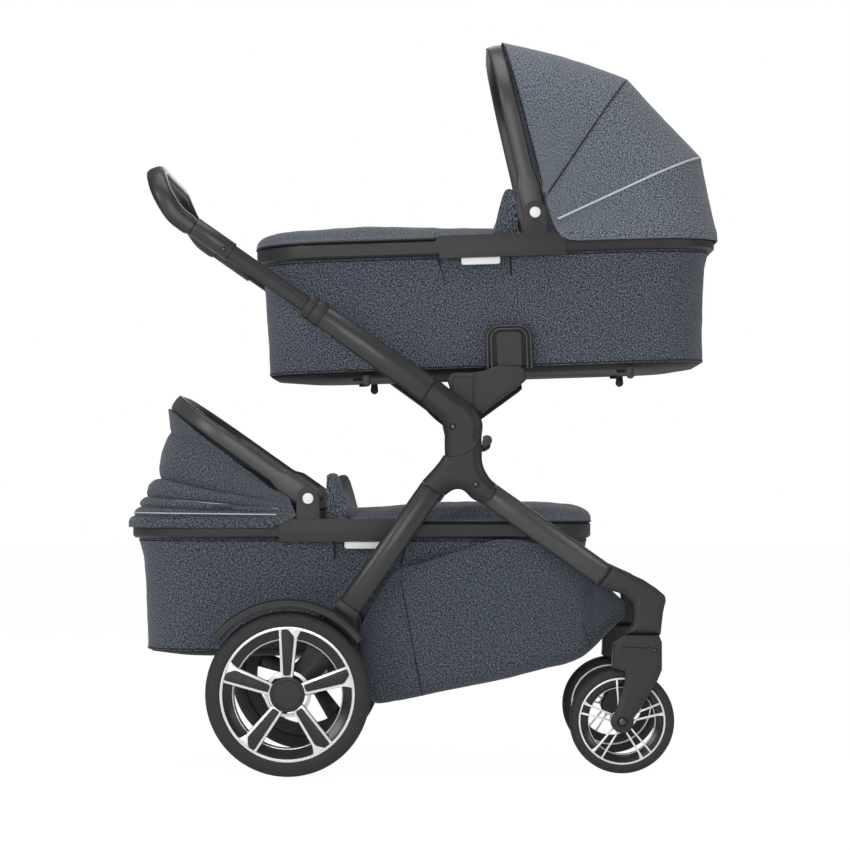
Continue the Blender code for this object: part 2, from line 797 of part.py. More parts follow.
def front_leg(side, tag, carrier):
    """The front leg with the tongue and pin that turn in the joint casting."""
    seam = housing_seam()
    way = Vector((seam[0] - LEG_PIVOT[0], 0.0, seam[1] - LEG_PIVOT[1]))
    lug = LEG_ARC_RADIUS + 0.0006
    clear = way.normalized() * lug
    start = Vector((LEG_PIVOT[0], side * FRAME_HALF, LEG_PIVOT[1])) + clear
    end = Vector((seam[0], side * (SWIVEL_HALF + 0.0015), seam[1]))
    end -= (end - start).normalized() * GAP
    back = Vector((LEG_PIVOT[0], side * FRAME_HALF, LEG_PIVOT[1])) + clear * 0.45
    slope = end - back
    flat = Vector((slope.x, 0.0, slope.z))
    body = loft([oval_ring(back, flat, LEG_TALL - 0.001, LEG_THICK), oval_ring(end, flat, LEG_TALL, LEG_THICK)])
    clearing = pin(LEG_PIVOT, inner_face() - GAP, FRAME_HALF + 0.03, side, lug, 40)
    tip = offset_point(LEG_PIVOT, (way.normalized() * 0.075).xz)
    tongue = plate(capsule(LEG_PIVOT, tip, EAR_RADIUS - 0.001), *span(side, inner_face() - GAP - EAR_THICKNESS, inner_face() - GAP))
    axle = pin(LEG_PIVOT, inner_face() - EAR_THICKNESS, FRAME_HALF + CASTING_THICKNESS / 2, side, PIN_RADIUS)
    steps = cut(clearing) + join(tongue, axle)
    return piece(f"front_leg_{tag}", body, charcoal_frame(), carrier, steps)


def front_housing(side, tag, carrier):
    """The housing over the caster, with the bore for its stem."""
    seam = housing_seam()
    edge = across(seam, LEG_PIVOT, LEG_TALL / 2 + 0.001)
    foot = FORK_HEIGHT + 0.0005
    lower, upper = sorted((offset_point(seam, edge), offset_point(seam, (-edge[0], -edge[1]))), key=lambda p: p[1])
    front = [(0.0035, 0.0950), (0.0260, 0.0800), (0.0400, 0.0680), (0.0418, 0.0600), (0.0369, 0.0384)]
    rear = [(-0.0164, 0.0160), (-0.0135, 0.0330), (-0.0150, 0.0560), (-0.0300, 0.0700)]
    outline = [upper] + [(SWIVEL_X + x, FORK_HEIGHT + z) for x, z in front]
    outline += [(SWIVEL_X + 0.0326, foot), (SWIVEL_X - 0.0319, foot)]
    outline += [(SWIVEL_X + x, FORK_HEIGHT + z) for x, z in rear] + [lower]
    half = 0.022
    body = plate(outline, side * SWIVEL_HALF - half, side * SWIVEL_HALF + half, 0.005)
    bore = rod((SWIVEL_X, side * SWIVEL_HALF, foot - 0.01), (SWIVEL_X, side * SWIVEL_HALF, foot + STEM_LENGTH + 0.001),
               STEM_RADIUS + GAP)
    return piece(f"front_housing_{tag}", body, charcoal_plastic(), carrier, cut(bore))


def front_cross_tube(carrier):
    x, z = SWIVEL_X + CROSS_TUBE_FROM_SWIVEL[0], CROSS_TUBE_FROM_SWIVEL[1]
    half = SWIVEL_HALF - 0.022 - GAP
    return piece("front_cross_tube", rod((x, -half, z), (x, half, z), CROSS_TUBE_RADIUS), charcoal_frame(), carrier)


def caster_fork(side, tag, carrier):
    """Two blades under a crown, with the wheel bolt across them and the swivel stem on top."""
    axle = (SWIVEL_X - TRAIL, FRONT_RADIUS)
    y = side * SWIVEL_HALF
    inner = FRONT_TYRE_WIDTH / 2 + BLADE_GAP
    outer = inner + BLADE_THICKNESS
    crown = FORK_HEIGHT
    outline = [(SWIVEL_X - 0.048, crown - 0.012), (SWIVEL_X - 0.030, crown), (SWIVEL_X + 0.030, crown),
               (SWIVEL_X + 0.0346, crown - 0.012), (SWIVEL_X + 0.0346, crown - 0.0585),
               (SWIVEL_X + 0.0269, crown - 0.0767), (SWIVEL_X, crown - 0.1224), (SWIVEL_X - 0.0138, crown - 0.1414)]
    outline += arc(axle, 0.0198, 0, -200, 8)
    outline += [(SWIVEL_X - 0.0414, crown - 0.1224), (SWIVEL_X - 0.0345, crown - 0.0965), (SWIVEL_X - 0.0290, crown - 0.0775),
                (SWIVEL_X - 0.0290, crown - 0.0620), (SWIVEL_X - 0.0500, crown - 0.0560)]
    body = plate(outline, y - outer, y + outer, 0.003)
    room = block((axle[0] - 0.1, y - inner, axle[1] - 0.1), (axle[0] + 0.12, y + inner, FRONT_RADIUS * 2 + 0.004))
    bolt = rod((axle[0], y - outer - 0.001, axle[1]), (axle[0], y + outer + 0.001, axle[1]), BOLT_RADIUS)
    stem = rod((SWIVEL_X, y, crown - 0.006), (SWIVEL_X, y, crown + STEM_LENGTH), STEM_RADIUS)
    return piece(f"caster_fork_{tag}", body, charcoal_plastic(), carrier, cut(room) + join(bolt, stem))


def basket(carrier):
    """A fabric trough: floor, sides and raised ends from cross sections along its length."""
    stations = [
        (-0.1046, 0.186, 0.250, FRAME_HALF - 0.0280),
        (-0.0861, 0.120, 0.283, FRAME_HALF - 0.0275),
        (-0.0465, 0.121, 0.343, FRAME_HALF - 0.0275),
        (0.0099, 0.132, 0.362, FRAME_HALF - 0.0275),
        (0.0719, 0.146, 0.382, FRAME_HALF - 0.0275),
        (0.1338, 0.1592, 0.400, FRAME_HALF - 0.0275),
        (0.1999, 0.1750, 0.392, FRAME_HALF - 0.0335),
        (0.2627, 0.1905, 0.366, FRAME_HALF - 0.0520),
        (0.2981, 0.2145, 0.336, FRAME_HALF - 0.0680),
        (0.3499, 0.2660, 0.290, FRAME_HALF - 0.0770),
    ]
    rows = []
    for x, low, high, half in stations:
        fillet = min(0.030, (high - low) * 0.45)
        side = [(-half, high), (-half, (high + low + fillet) / 2), (-half, low + fillet),
                (-half + fillet * 0.3, low + fillet * 0.3), (-half + fillet, low)]
        row = side + [(0.0, low)] + [(-y, z) for y, z in reversed(side)]
        rows.append([(x, y, z) for y, z in row])
    body = sheet(rows, BASKET_WALL, -1.0)
    helpers = []
    inner_leg = FRAME_HALF - LEG_THICK / 2
    strap, front = FRAME_HALF - STRAP_IN, FRAME_HALF - FRONT_STRAP_IN
    for side in (-1, 1):
        rear = [STRAP_FRONT, STRAP_REAR]
        helpers.append(plate(capsule(*rear, STRAP_RADIUS), *span(side, strap, strap + STRAP_THICKNESS)))
        helpers.append(pin(rear[1], FRAME_HALF - STRAP_PIN_IN, inner_leg - GAP, side, STRAP_RADIUS * 0.6))
        helpers.append(pin(FRONT_STRAP, front - FRONT_STRAP_LENGTH, front, side, STRAP_RADIUS * 0.6))
    return piece("basket", body, slate_fabric(), carrier, join(*helpers))


def fold_latch(side, tag, carrier):
    """A small block that slides up along the joint casting's front face."""
    edge = LEG_PIVOT[0] + 0.0102 + GAP
    step = edge + 0.0014
    foot = LEG_PIVOT[1] + 0.0625
    outline = [(edge, foot), (edge + 0.010, foot), (edge + 0.0145, foot + 0.006), (edge + 0.0145, foot + 0.018),
               (edge + 0.010, foot + 0.023), (step, foot + 0.023), (step, foot + 0.0145), (edge, foot + 0.0145)]
    body = plate(outline, *span(side, FRAME_HALF - 0.009, FRAME_HALF + 0.009))
    return piece(f"fold_latch_{tag}", body, black_plastic(), carrier)


def cot_point(place, tilt, local, reverse=False):
    """Where a point of a carrycot, in its own x and z, stands in the frame."""
    c, s = unit(tilt)
    x, z = local[0] * c - local[1] * s, local[0] * s + local[1] * c
    return (place[0] + (-x if reverse else x), place[1] + z)


def tongue_layer(side):
    low = SOCKET_INNER + SOCKET_WALL + GAP
    return span(side, low, low + TONGUE_THICKNESS)


def tongue(place, tilt, side, reverse):
    """The blade that stands in a carrycot's socket."""
    corners = [(SOCKET_X - TONGUE_HALF_WIDTH, -SOCKET_FLOOR - 0.006), (SOCKET_X + TONGUE_HALF_WIDTH, -SOCKET_FLOOR - 0.006),
               (SOCKET_X + TONGUE_HALF_WIDTH, -TONGUE_TOP - 0.010), (SOCKET_X + TONGUE_HALF_WIDTH - 0.010, -TONGUE_TOP),
               (SOCKET_X - TONGUE_HALF_WIDTH + 0.010, -TONGUE_TOP), (SOCKET_X - TONGUE_HALF_WIDTH, -TONGUE_TOP - 0.010)]
    outline = [cot_point(place, tilt, corner, reverse) for corner in corners]
    return plate(outline, *tongue_layer(side))


def upper_adapter(side, tag, carrier):
    """The bracket on the arm casting that carries the upper carrycot."""
    outline = [(-0.0107, 0.0811), (-0.0055, 0.0897), (0.0031, 0.0931), (0.0340, 0.0931), (0.0546, 0.0966),
               (0.0717, 0.1040), (0.1129, 0.1040), (0.1232, 0.0983), (0.1249, 0.0811), (0.1198, 0.0760),
               (0.0494, 0.0245), (0.0380, 0.0262), (0.0000, 0.0500)]
    outline = [offset_point(FOLD_PIVOT, p) for p in outline]
    inner = SOCKET_INNER + SOCKET_WALL + GAP
    body = plate(outline, *span(side, inner, inner_face() - GAP), 0.002)
    blade = tongue(UPPER_COT_AT, UPPER_COT_TILT, side, False)
    return piece(f"upper_adapter_{tag}", body, charcoal_plastic(), carrier, join(blade))


def lower_adapter(side, tag, carrier):
    """The bracket inside the rear leg's foot that carries the lower carrycot."""
    middle, top = cot_point(LOWER_COT_AT, LOWER_COT_TILT, (SOCKET_X, -SOCKET_FLOOR), True)
    top -= 0.0008
    inner = SOCKET_INNER + SOCKET_WALL + GAP
    wall = FRAME_HALF - LEG_THICK / 2 - GAP
    shelf = [(-0.030, 0.0), (0.028, 0.0), (0.028, -0.016), (0.016, -0.026), (-0.018, -0.026), (-0.030, -0.016)]
    riser = [(-0.028, -0.022), (0.026, -0.022), (0.028, 0.035), (0.016, 0.056), (-0.004, 0.056), (-0.025, 0.025)]
    body = plate([(middle + x, top + z) for x, z in shelf], *span(side, inner, wall))
    back = plate([(middle + x, top + z) for x, z in riser], *span(side, wall - 0.018, wall))
    blade = tongue(LOWER_COT_AT, LOWER_COT_TILT, side, True)
    return piece(f"lower_adapter_{tag}", body, charcoal_plastic(), carrier, join(back, blade))


def plan_ring(insets, height, steps=5):
    """The carrycot's plan at one height, a rectangle with round corners, drawn in at foot, sides and hood end."""
    foot, side, hood_end = insets
    half_width = COT_HALF_WIDTH - side
    radius = COT_CORNER - side
    centres = {1: COT_HALF_LENGTH - hood_end - radius, -1: foot + radius - COT_HALF_LENGTH}
    ring = []
    for quarter, (sx, sy) in enumerate(((1, 1), (-1, 1), (-1, -1), (1, -1))):
        for k in range(steps + 1):
            c, s = unit(90 * quarter + 90 * k / steps)
            ring.append((centres[sx] + radius * c, sy * (half_width - radius) + radius * s, height))
    return ring


def drawn_in(inset):
    """The tub draws in least at its foot end and most under the hood."""
    return (inset * FOOT_DRAW, inset, inset * HOOD_DRAW)


def tub_profile():
    """Heights and side insets of the tub's outer wall, top to bottom."""
    return [(-RIM_HALF_HEIGHT - 0.0006, 0.009), (-0.050, 0.0145), (-0.120, 0.0195), (-TUB_DEPTH, 0.0215)]


def tub(prefix, carrier):
    outer = [plan_ring(drawn_in(inset), z) for z, inset in tub_profile()]
    inner = []
    for z, inset in tub_profile():
        floor = max(z, -TUB_DEPTH + TUB_WALL)
        inner.append(plan_ring(drawn_in(inset + TUB_WALL), floor))
    return piece(f"{prefix}_tub", loft(list(reversed(inner)) + outer), slate_fabric(), carrier)


def base_pan(prefix, carrier):
    """The tray under the tub, with its feet and the sockets that take the adapters' tongues."""
    top = -TUB_DEPTH - GAP
    low = top - BASE_DEPTH
    body = loft([plan_ring(drawn_in(0.0225), top), plan_ring(drawn_in(0.026), top - 0.003), plan_ring((0.080, 0.045, 0.080), low)])
    steps = []
    outer = SOCKET_INNER + 2 * SOCKET_WALL + TONGUE_THICKNESS + 2 * GAP
    slot = SOCKET_INNER + SOCKET_WALL
    left, right = SOCKET_X - SOCKET_HALF_WIDTH, SOCKET_X + SOCKET_HALF_WIDTH
    bend = 0.022
    arch = [(left, low + 0.002), (right, low + 0.002)]
    arch += arc((right - bend, -SOCKET_TOP - bend), bend, 0, 90, 4)
    arch += arc((left + bend, -SOCKET_TOP - bend), bend, 90, 180, 4)
    for side in (-1, 1):
        steps += join(plate(arch, *span(side, SOCKET_INNER, outer)))
        low_y, high_y = span(side, SOCKET_INNER - 0.016, SOCKET_INNER + 0.002)
        steps += join(block((left + 0.006, low_y, low + 0.003), (right - 0.006, high_y, top - 0.0008)))
        peg_y = side * (COT_HALF_WIDTH - FOOT_PEG_IN[1])
        for x in (FOOT_PEG_IN[0] - COT_HALF_LENGTH, COT_HALF_LENGTH - FOOT_PEG_IN[0]):
            peg_top = (x, peg_y, low + 0.004)
            steps += join(rod((x, peg_y, low - FOOT_PEG_HEIGHT + 0.003), peg_top, FOOT_PEG_RADIUS, 12))
    for side in (-1, 1):
        low_y, high_y = span(side, slot, slot + TONGUE_THICKNESS + 2 * GAP)
        half = TONGUE_HALF_WIDTH + GAP
        steps += cut(block((SOCKET_X - half, low_y, low - 0.05), (SOCKET_X + half, high_y, -TONGUE_TOP + 0.0006)))
        low_y, high_y = span(side, slot, outer + 0.01)
        steps += cut(block((left - 0.01, low_y, low - 0.05), (right + 0.01, high_y, -SOCKET_FLOOR)))
    return piece(f"{prefix}_base", body, black_plastic(), carrier, steps)


def rim(prefix, carrier):
    """The rail round the tub, with a casing and a hood post on each side."""
    h, w, e = RIM_HALF_HEIGHT, RIM_WIDTH, 0.004
    rings = [(0, h - e), (0, e - h), (e, -h), (w, -h), (w, h), (e, h)]
    body = loft([plan_ring((inset, inset, inset), z) for inset, z in rings], True)
    steps = []
    outer = COT_HALF_WIDTH + CASING_PROUD
    inner = outer - CASING_WALL
    tall = CASING_HALF_HEIGHT
    px, pz = HOOD_PIVOT
    casing = [(CASING_FOOT, -tall), (CASING_HOOD, -tall), (CASING_HOOD, tall), (CASING_FOOT, tall)]
    post = [(px - POST_HALF_WIDTH, 0.0), (px + POST_HALF_WIDTH, 0.0)] + arc(HOOD_PIVOT, POST_HALF_WIDTH, 0, 180, 10)
    for side in (-1, 1):
        steps += join(plate(casing, *span(side, inner, outer)))
        steps += join(plate(post, *span(side, outer - POST_THICKNESS, outer - 0.0005)))
        steps += join(pin(HOOD_PIVOT, bow_layer(side)[2], outer - 0.010, side, PIN_RADIUS))
    for side in (-1, 1):
        steps += cut(pin(HOOD_PIVOT, outer - POCKET_DEPTH, outer + 0.01, side, BUTTON_RADIUS + GAP))
        half = HANDLE_HALF_LENGTH + 2 * GAP
        low_y, high_y = span(side, handle_layer()[0] - 2 * GAP, handle_layer()[1] + 2 * GAP)
        roof = handle_roof() + HANDLE_TRAVEL + 0.002
        steps += cut(block((HANDLE_MIDDLE - half, low_y, -0.05), (HANDLE_MIDDLE + half, high_y, roof)))
    return piece(f"{prefix}_rim", body, charcoal_plastic(), carrier, steps)


def handle_layer():
    """Distances of a release handle's two faces to the middle plane."""
    inner = COT_HALF_WIDTH + CASING_PROUD - CASING_WALL + 0.0006
    return (inner, inner + HANDLE_THICKNESS)


def handle_roof():
    """The top of a release handle, inside its casing."""
    return -CASING_HALF_HEIGHT + 0.0035


def release_handle(prefix, side, tag, carrier):
    low = -CASING_HALF_HEIGHT - HANDLE_HANG
    left, right = HANDLE_MIDDLE - HANDLE_HALF_LENGTH, HANDLE_MIDDLE + HANDLE_HALF_LENGTH
    outline = [(left, handle_roof()), (right, handle_roof()), (right, low + 0.003), (right - 0.003, low),
               (left + 0.003, low), (left, low + 0.003)]
    body = plate(outline, *span(side, *handle_layer()))
    return piece(f"{prefix}_release_{tag}", body, white_plastic(), carrier)


def hood_button(prefix, side, tag, carrier):
    outer = COT_HALF_WIDTH + CASING_PROUD + BUTTON_PROUD
    body = pin(HOOD_PIVOT, outer - BUTTON_THICKNESS, outer, side, BUTTON_RADIUS)
    return piece(f"{prefix}_hood_button_{tag}", body, white_plastic(), carrier)


def bow_layer(side):
    """The y values of a bow arm on one side, and the distance to the middle plane of its inner face."""
    low, high = span(side, BOW_HALF_SPAN - BOW_THICKNESS / 2, BOW_HALF_SPAN + BOW_THICKNESS / 2)
    return low, high, BOW_HALF_SPAN - BOW_THICKNESS / 2


def leaning(angle):
    """The up and forward directions, in x and z, of something that leans towards the hood end."""
    s, c = math.sin(math.radians(angle)), math.cos(math.radians(angle))
    return (s, c), (c, -s)


def hood_bow(prefix, angle, reach, carrier):
    """A flat strip bent into a U, with a broad foot and a bored disc at each end."""
    up, forward = leaning(angle)
    straight = reach - BOW_CORNER
    half_path = [(0.0, 0.0), (BOW_FOOT_LENGTH - 0.010, 0.0), (BOW_FOOT_LENGTH, 0.0), (straight, 0.0)]
    stations = []
    for r, _ in half_path:
        stations.append((-BOW_HALF_SPAN, r, 0.0))
    for k in range(1, 5):
        c, s = unit(90 * k / 5)
        stations.append((-BOW_HALF_SPAN + BOW_CORNER * (1 - c), straight + BOW_CORNER * s, 90 * k / 5))
    stations.append((-BOW_HALF_SPAN + BOW_CORNER, reach, 90.0))
    stations += [(-y, r, 180 - a) for y, r, a in reversed(stations)]
    rings = []
    for y, r, a in stations:
        out_y, out_r = -math.cos(math.radians(a)), math.sin(math.radians(a))
        half = (BOW_FOOT_WIDTH if r < BOW_FOOT_LENGTH - 0.005 else BOW_WIDTH) / 2
        t, e = BOW_THICKNESS / 2, 0.002
        ring = []
        for across_part, along_part in ((half, t - e), (half - e, t), (e - half, t), (-half, t - e),
                                        (-half, e - t), (e - half, -t), (half - e, -t), (half, e - t)):
            rr = r + out_r * along_part
            yy = y + out_y * along_part
            ring.append((HOOD_PIVOT[0] + up[0] * rr + forward[0] * across_part, yy,
                         HOOD_PIVOT[1] + up[1] * rr + forward[1] * across_part))
        rings.append(ring)
    body = loft(rings)
    steps = []
    for side in (-1, 1):
        low_y, high_y, _ = bow_layer(side)
        disc = plate(arc(HOOD_PIVOT, BOW_FOOT_WIDTH / 2, 0, 337.5, 15), low_y, high_y)
        steps += join(disc)
    for side in (-1, 1):
        steps += cut(pin(HOOD_PIVOT, BOW_HALF_SPAN - 0.02, BOW_HALF_SPAN + 0.02, side, PIN_RADIUS + GAP))
    return piece(f"{prefix}_hood_bow", body, charcoal_plastic(), carrier, steps)


def arch(half, height, corner, foot_half):
    """Half outline points of a hood row, right side to left: up a side, round a corner and over."""
    straight = height - corner
    points = [(-foot_half, 0.0), (-(half + foot_half) / 2, straight * 0.5)]
    for k in range(6):
        c, s = unit(90 * k / 5)
        points.append((-half + corner * (1 - c), straight + corner * s))
    return points + [(0.0, height)] + [(-y, h) for y, h in reversed(points)]


def hood_row(base, apex, half, corner, foot_half=None):
    """A row of the hood: an arch that leans from its base point to its apex point, both in x and z."""
    height = math.hypot(apex[0] - base[0], apex[1] - base[1])
    row = []
    for y, h in arch(half, height, corner, foot_half or half):
        f = h / height
        row.append((base[0] + (apex[0] - base[0]) * f, y, base[1] + (apex[1] - base[1]) * f))
    return row


def between(row, other, share, bulge=0.0):
    """A row part of the way to another one, pushed out from the hood pivot by bulge."""
    made = []
    for point, goal in zip(row, other):
        middle = Vector(point).lerp(Vector(goal), share)
        out = Vector((middle.x - HOOD_PIVOT[0], middle.y * 0.3, middle.z - HOOD_PIVOT[1]))
        made.append(tuple(middle + out * (bulge / max(out.length, 0.05))))
    return made


def from_pivot(angle, distance):
    up, _ = leaning(angle)
    return (HOOD_PIVOT[0] + up[0] * distance, HOOD_PIVOT[1] + up[1] * distance)


def bow_row(angle, reach):
    """The hood's front edge, just behind the bow."""
    up, forward = leaning(angle)
    foot = BOW_FOOT_WIDTH / 2 + 0.0020
    edge = BOW_WIDTH / 2 + 0.0025
    base = (HOOD_PIVOT[0] + forward[0] * foot + up[0] * 0.030, HOOD_PIVOT[1] + forward[1] * foot + up[1] * 0.030)
    top = reach + 0.004
    apex = (HOOD_PIVOT[0] + forward[0] * edge + up[0] * top, HOOD_PIVOT[1] + forward[1] * edge + up[1] * top)
    return hood_row(base, apex, BOW_HALF_SPAN + 0.004, BOW_CORNER)


def hem_row(height):
    """The hood's lower edge, round the outside of the rim."""
    out = HOOD_SHEET + 0.0004
    base = (CASING_HOOD + 0.008, height)
    return hood_row(base, (COT_HALF_LENGTH + out, height), COT_HALF_WIDTH + out, COT_CORNER + out)


def open_hood_rows(angle, reach):
    """The raised hood: three panels between the bow, two ribs and the rim."""
    front = bow_row(angle, reach)
    first = hood_row(from_pivot(35.8, 0.032), from_pivot(35.8, 0.2925), COT_HALF_WIDTH - 0.0055, COT_CORNER)
    second = hood_row(from_pivot(72.0, 0.032), from_pivot(72.0, 0.3100), COT_HALF_WIDTH - 0.0015, COT_CORNER)
    seat, hem = hem_row(RIM_HALF_HEIGHT + 0.004), hem_row(0.004)
    return [front, between(front, first, 0.33, 0.006), between(front, first, 0.67, 0.006), first,
            between(first, second, 0.5), second, between(second, seat, 0.5, -0.002), seat, hem]


def folded_hood_rows(angle, reach):
    """The lowered hood: the cloth hangs from the bow to the rim in stacked folds."""
    folds = [
        (0.3330, 0.1800, -0.0135),
        (0.3410, 0.1570, -0.0075),
        (0.3510, 0.1310, -0.0035),
        (0.3530, 0.1045, -0.0015),
        (0.3490, 0.0870, -0.0055),
        (0.3620, 0.0815, -0.0005),
        (0.3735, 0.0620, 0.0015),
        (0.3755, 0.0517, -0.0035),
        (0.3865, 0.0430, 0.0025),
        (0.3880, 0.0340, -0.0025),
        (0.3970, 0.0285, 0.0045),
    ]
    rows = [bow_row(angle, reach)]
    first = Vector((HOOD_PIVOT[0] + 0.0392, HOOD_PIVOT[1] - 0.0040))
    last = Vector((HOOD_PIVOT[0] + 0.0560, HOOD_PIVOT[1] - 0.0330))
    for number, (x, z, wider) in enumerate(folds):
        base = first.lerp(last, number / (len(folds) - 1))
        foot_half = BOW_HALF_SPAN + 0.004 + 0.0145 * number / len(folds)
        rows.append(hood_row(base, (x, z), COT_HALF_WIDTH + wider, COT_CORNER - 0.005, foot_half))
    return rows + [hem_row(RIM_HALF_HEIGHT + 0.004), hem_row(0.004)]


def hood(prefix, rows, carrier):
    return piece(f"{prefix}_hood", sheet(rows, HOOD_SHEET, 1.0), slate_fabric(), carrier)


def cover(prefix, carrier):
    """The foot cover: a crowned sheet over the foot end of the rim, with a raised flap at each front corner."""
    half_length, half_width = COT_HALF_LENGTH - COVER_EDGE, COT_HALF_WIDTH - COVER_EDGE
    inner_width = COT_HALF_WIDTH + CASING_PROUD - CASING_WALL - COVER_EDGE
    radius = COT_CORNER - COVER_EDGE
    places = []
    for k, rise in enumerate((0.0, 0.35, 0.62, 0.85, 0.97, 1.0)):
        c, s = unit(90 * k / 5)
        places.append((-half_length + radius * (1 - c), half_width - radius + radius * s, rise))
    places.append((CASING_FOOT - 0.070, half_width, 1.0))
    places.append((CASING_FOOT - 0.012, half_width, 0.88))
    places.append((CASING_FOOT - 0.004, inner_width, 0.86))
    places.append((-0.020, inner_width, 0.72))
    places.append((COVER_END, inner_width, 0.60))
    profile = [(1.0, 0.0), (0.94, 0.45), (0.75, 0.85), (0.38, 0.97)]
    across_points = [(-f, g) for f, g in profile] + [(0.0, 1.0)] + list(reversed(profile))
    seat = RIM_HALF_HEIGHT + COVER_SHEET - 0.0004
    rows = [[(x, f * w, seat + COVER_CROWN * g * rise) for f, g in across_points] for x, w, rise in places]
    body = sheet(rows, COVER_SHEET, 1.0)
    front = COVER_END - 0.001
    flap = [(0.012, seat + 0.008), (front, seat + 0.008), (front, 0.096), (front - 0.007, 0.099), (front - 0.014, 0.093)]
    flaps = [plate(flap, *span(side, inner_width - 0.0235, inner_width - 0.0195)) for side in (-1, 1)]
    return piece(f"{prefix}_cover", body, slate_fabric(), carrier, join(*flaps))


def mattress(prefix, carrier):
    """A pad on the tub's floor, crowned and drawn in at its edge."""
    floor = -TUB_DEPTH + TUB_WALL + GAP
    rings = [(0.032, 0.0), (0.0285, 0.35), (0.030, 0.75), (0.042, 0.95), (0.090, 1.0)]
    body = loft([plan_ring(drawn_in(i), floor + MATTRESS_HEIGHT * share) for i, share in rings])
    return piece(f"{prefix}_mattress", body, lining_fabric(), carrier)


def carrycot(prefix, carrier, bow_angle, bow_reach, hood_rows, reverse):
    """One carrycot on its holder, with a holder for each of its moving pieces."""
    tub(prefix, carrier)
    base_pan(prefix, carrier)
    rim(prefix, carrier)
    cover(prefix, carrier)
    mattress(prefix, carrier)
    hood(prefix, hood_rows(bow_angle, bow_reach), carrier)
    pivot = (HOOD_PIVOT[0], 0.0, HOOD_PIVOT[1])
    hood_bow(prefix, bow_angle, bow_reach, holder(f"{prefix}_bow_pivot", pivot, carrier))
    for tag, side in SIDES:
        own_side = -side if reverse else side
        button_at = (pivot[0], own_side * COT_HALF_WIDTH, pivot[2])
        hood_button(prefix, own_side, tag, holder(f"{prefix}_button_pivot_{tag}", button_at, carrier))
        handle_at = (HANDLE_MIDDLE, own_side * COT_HALF_WIDTH, -CASING_HALF_HEIGHT)
        release_handle(prefix, own_side, tag, holder(f"{prefix}_release_pivot_{tag}", handle_at, carrier))


def chassis(root):
    """The rear half of the frame, which everything else hangs on."""
    rear_axle(root)
    basket(root)
    brake_pedal(holder("brake_pivot", (REAR_AXLE_X, 0.0, REAR_RADIUS), root))
    for tag, side in SIDES:
        joint_casting(side, tag, root)
        rear_leg(side, tag, root)
        fender(side, tag, root)
        lower_adapter(side, tag, root)
        axle = holder(f"rear_wheel_axle_{tag}", (REAR_AXLE_X, side * REAR_TRACK_HALF, REAR_RADIUS), root)
        rear_rim(tag, side, axle)
        tyre(f"rear_tyre_{tag}", REAR_RADIUS, REAR_TYRE_HEIGHT, REAR_TYRE_WIDTH, side, axle)
        latch_at = (LEG_PIVOT[0], side * FRAME_HALF, LEG_PIVOT[1])
        fold_latch(side, tag, holder(f"latch_slide_{tag}", latch_at, root))


def front_frame(root):
    """The front legs with their housings, forks and wheels."""
    frame = holder("leg_pivot", (LEG_PIVOT[0], 0.0, LEG_PIVOT[1]), root)
    front_cross_tube(frame)
    for tag, side in SIDES:
        front_leg(side, tag, frame)
        front_housing(side, tag, frame)
        swivel = holder(f"swivel_{tag}", (SWIVEL_X, side * SWIVEL_HALF, FORK_HEIGHT), frame)
        caster_fork(side, tag, swivel)
        axle = holder(f"front_wheel_axle_{tag}", (SWIVEL_X - TRAIL, side * SWIVEL_HALF, FRONT_RADIUS), swivel)
        front_rim(tag, side, axle)
        tyre(f"front_tyre_{tag}", FRONT_RADIUS, FRONT_TYRE_HEIGHT, FRONT_TYRE_WIDTH, side, axle)


def push_frame(root):
    """The arms with the handle and the upper adapters."""
    frame = holder("fold_pivot", (FOLD_PIVOT[0], 0.0, FOLD_PIVOT[1]), root)
    collar = arm_point(ARM_LENGTH)
    handle = holder("handle_slide", (collar[0], 0.0, collar[1]), frame)
    handlebar(handle)
    for tag, side in SIDES:
        arm_casting(side, tag, frame)
        arm_tube(side, tag, frame)
        upper_adapter(side, tag, frame)
        handle_tube(side, tag, handle)
    return frame


def main():
    root = holder("stroller", (0.0, 0.0, 0.0))
    chassis(root)
    front_frame(root)
    frame = push_frame(root)
    upper_at = (UPPER_COT_AT[0], 0.0, UPPER_COT_AT[1])
    upper = holder("upper_cot_lift", upper_at, frame, (0.0, math.radians(-UPPER_COT_TILT), 0.0))
    carrycot("upper_cot", upper, UPPER_BOW_ANGLE, UPPER_BOW_REACH, open_hood_rows, False)
    lower_at = (LOWER_COT_AT[0], 0.0, LOWER_COT_AT[1])
    lower = holder("lower_cot_lift", lower_at, root, (0.0, math.radians(-LOWER_COT_TILT), math.radians(180)))
    carrycot("lower_cot", lower, LOWER_BOW_ANGLE, LOWER_BOW_REACH, folded_hood_rows, True)


clear_scene()
PARTS = new_collection("twin_stroller")
HELPERS = new_collection("helpers")
main()
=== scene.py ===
# %% [markdown]
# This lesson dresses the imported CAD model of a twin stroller. The CAD nodes load first and never move. Each one then
# gets a closer piece that stands for it, and a finish of its own in case it still shows.

# %% Load the frame
import json
from math import asin, copysign, cos, hypot, pi, radians, sin, sqrt, tau

import bpy
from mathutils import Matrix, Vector, noise

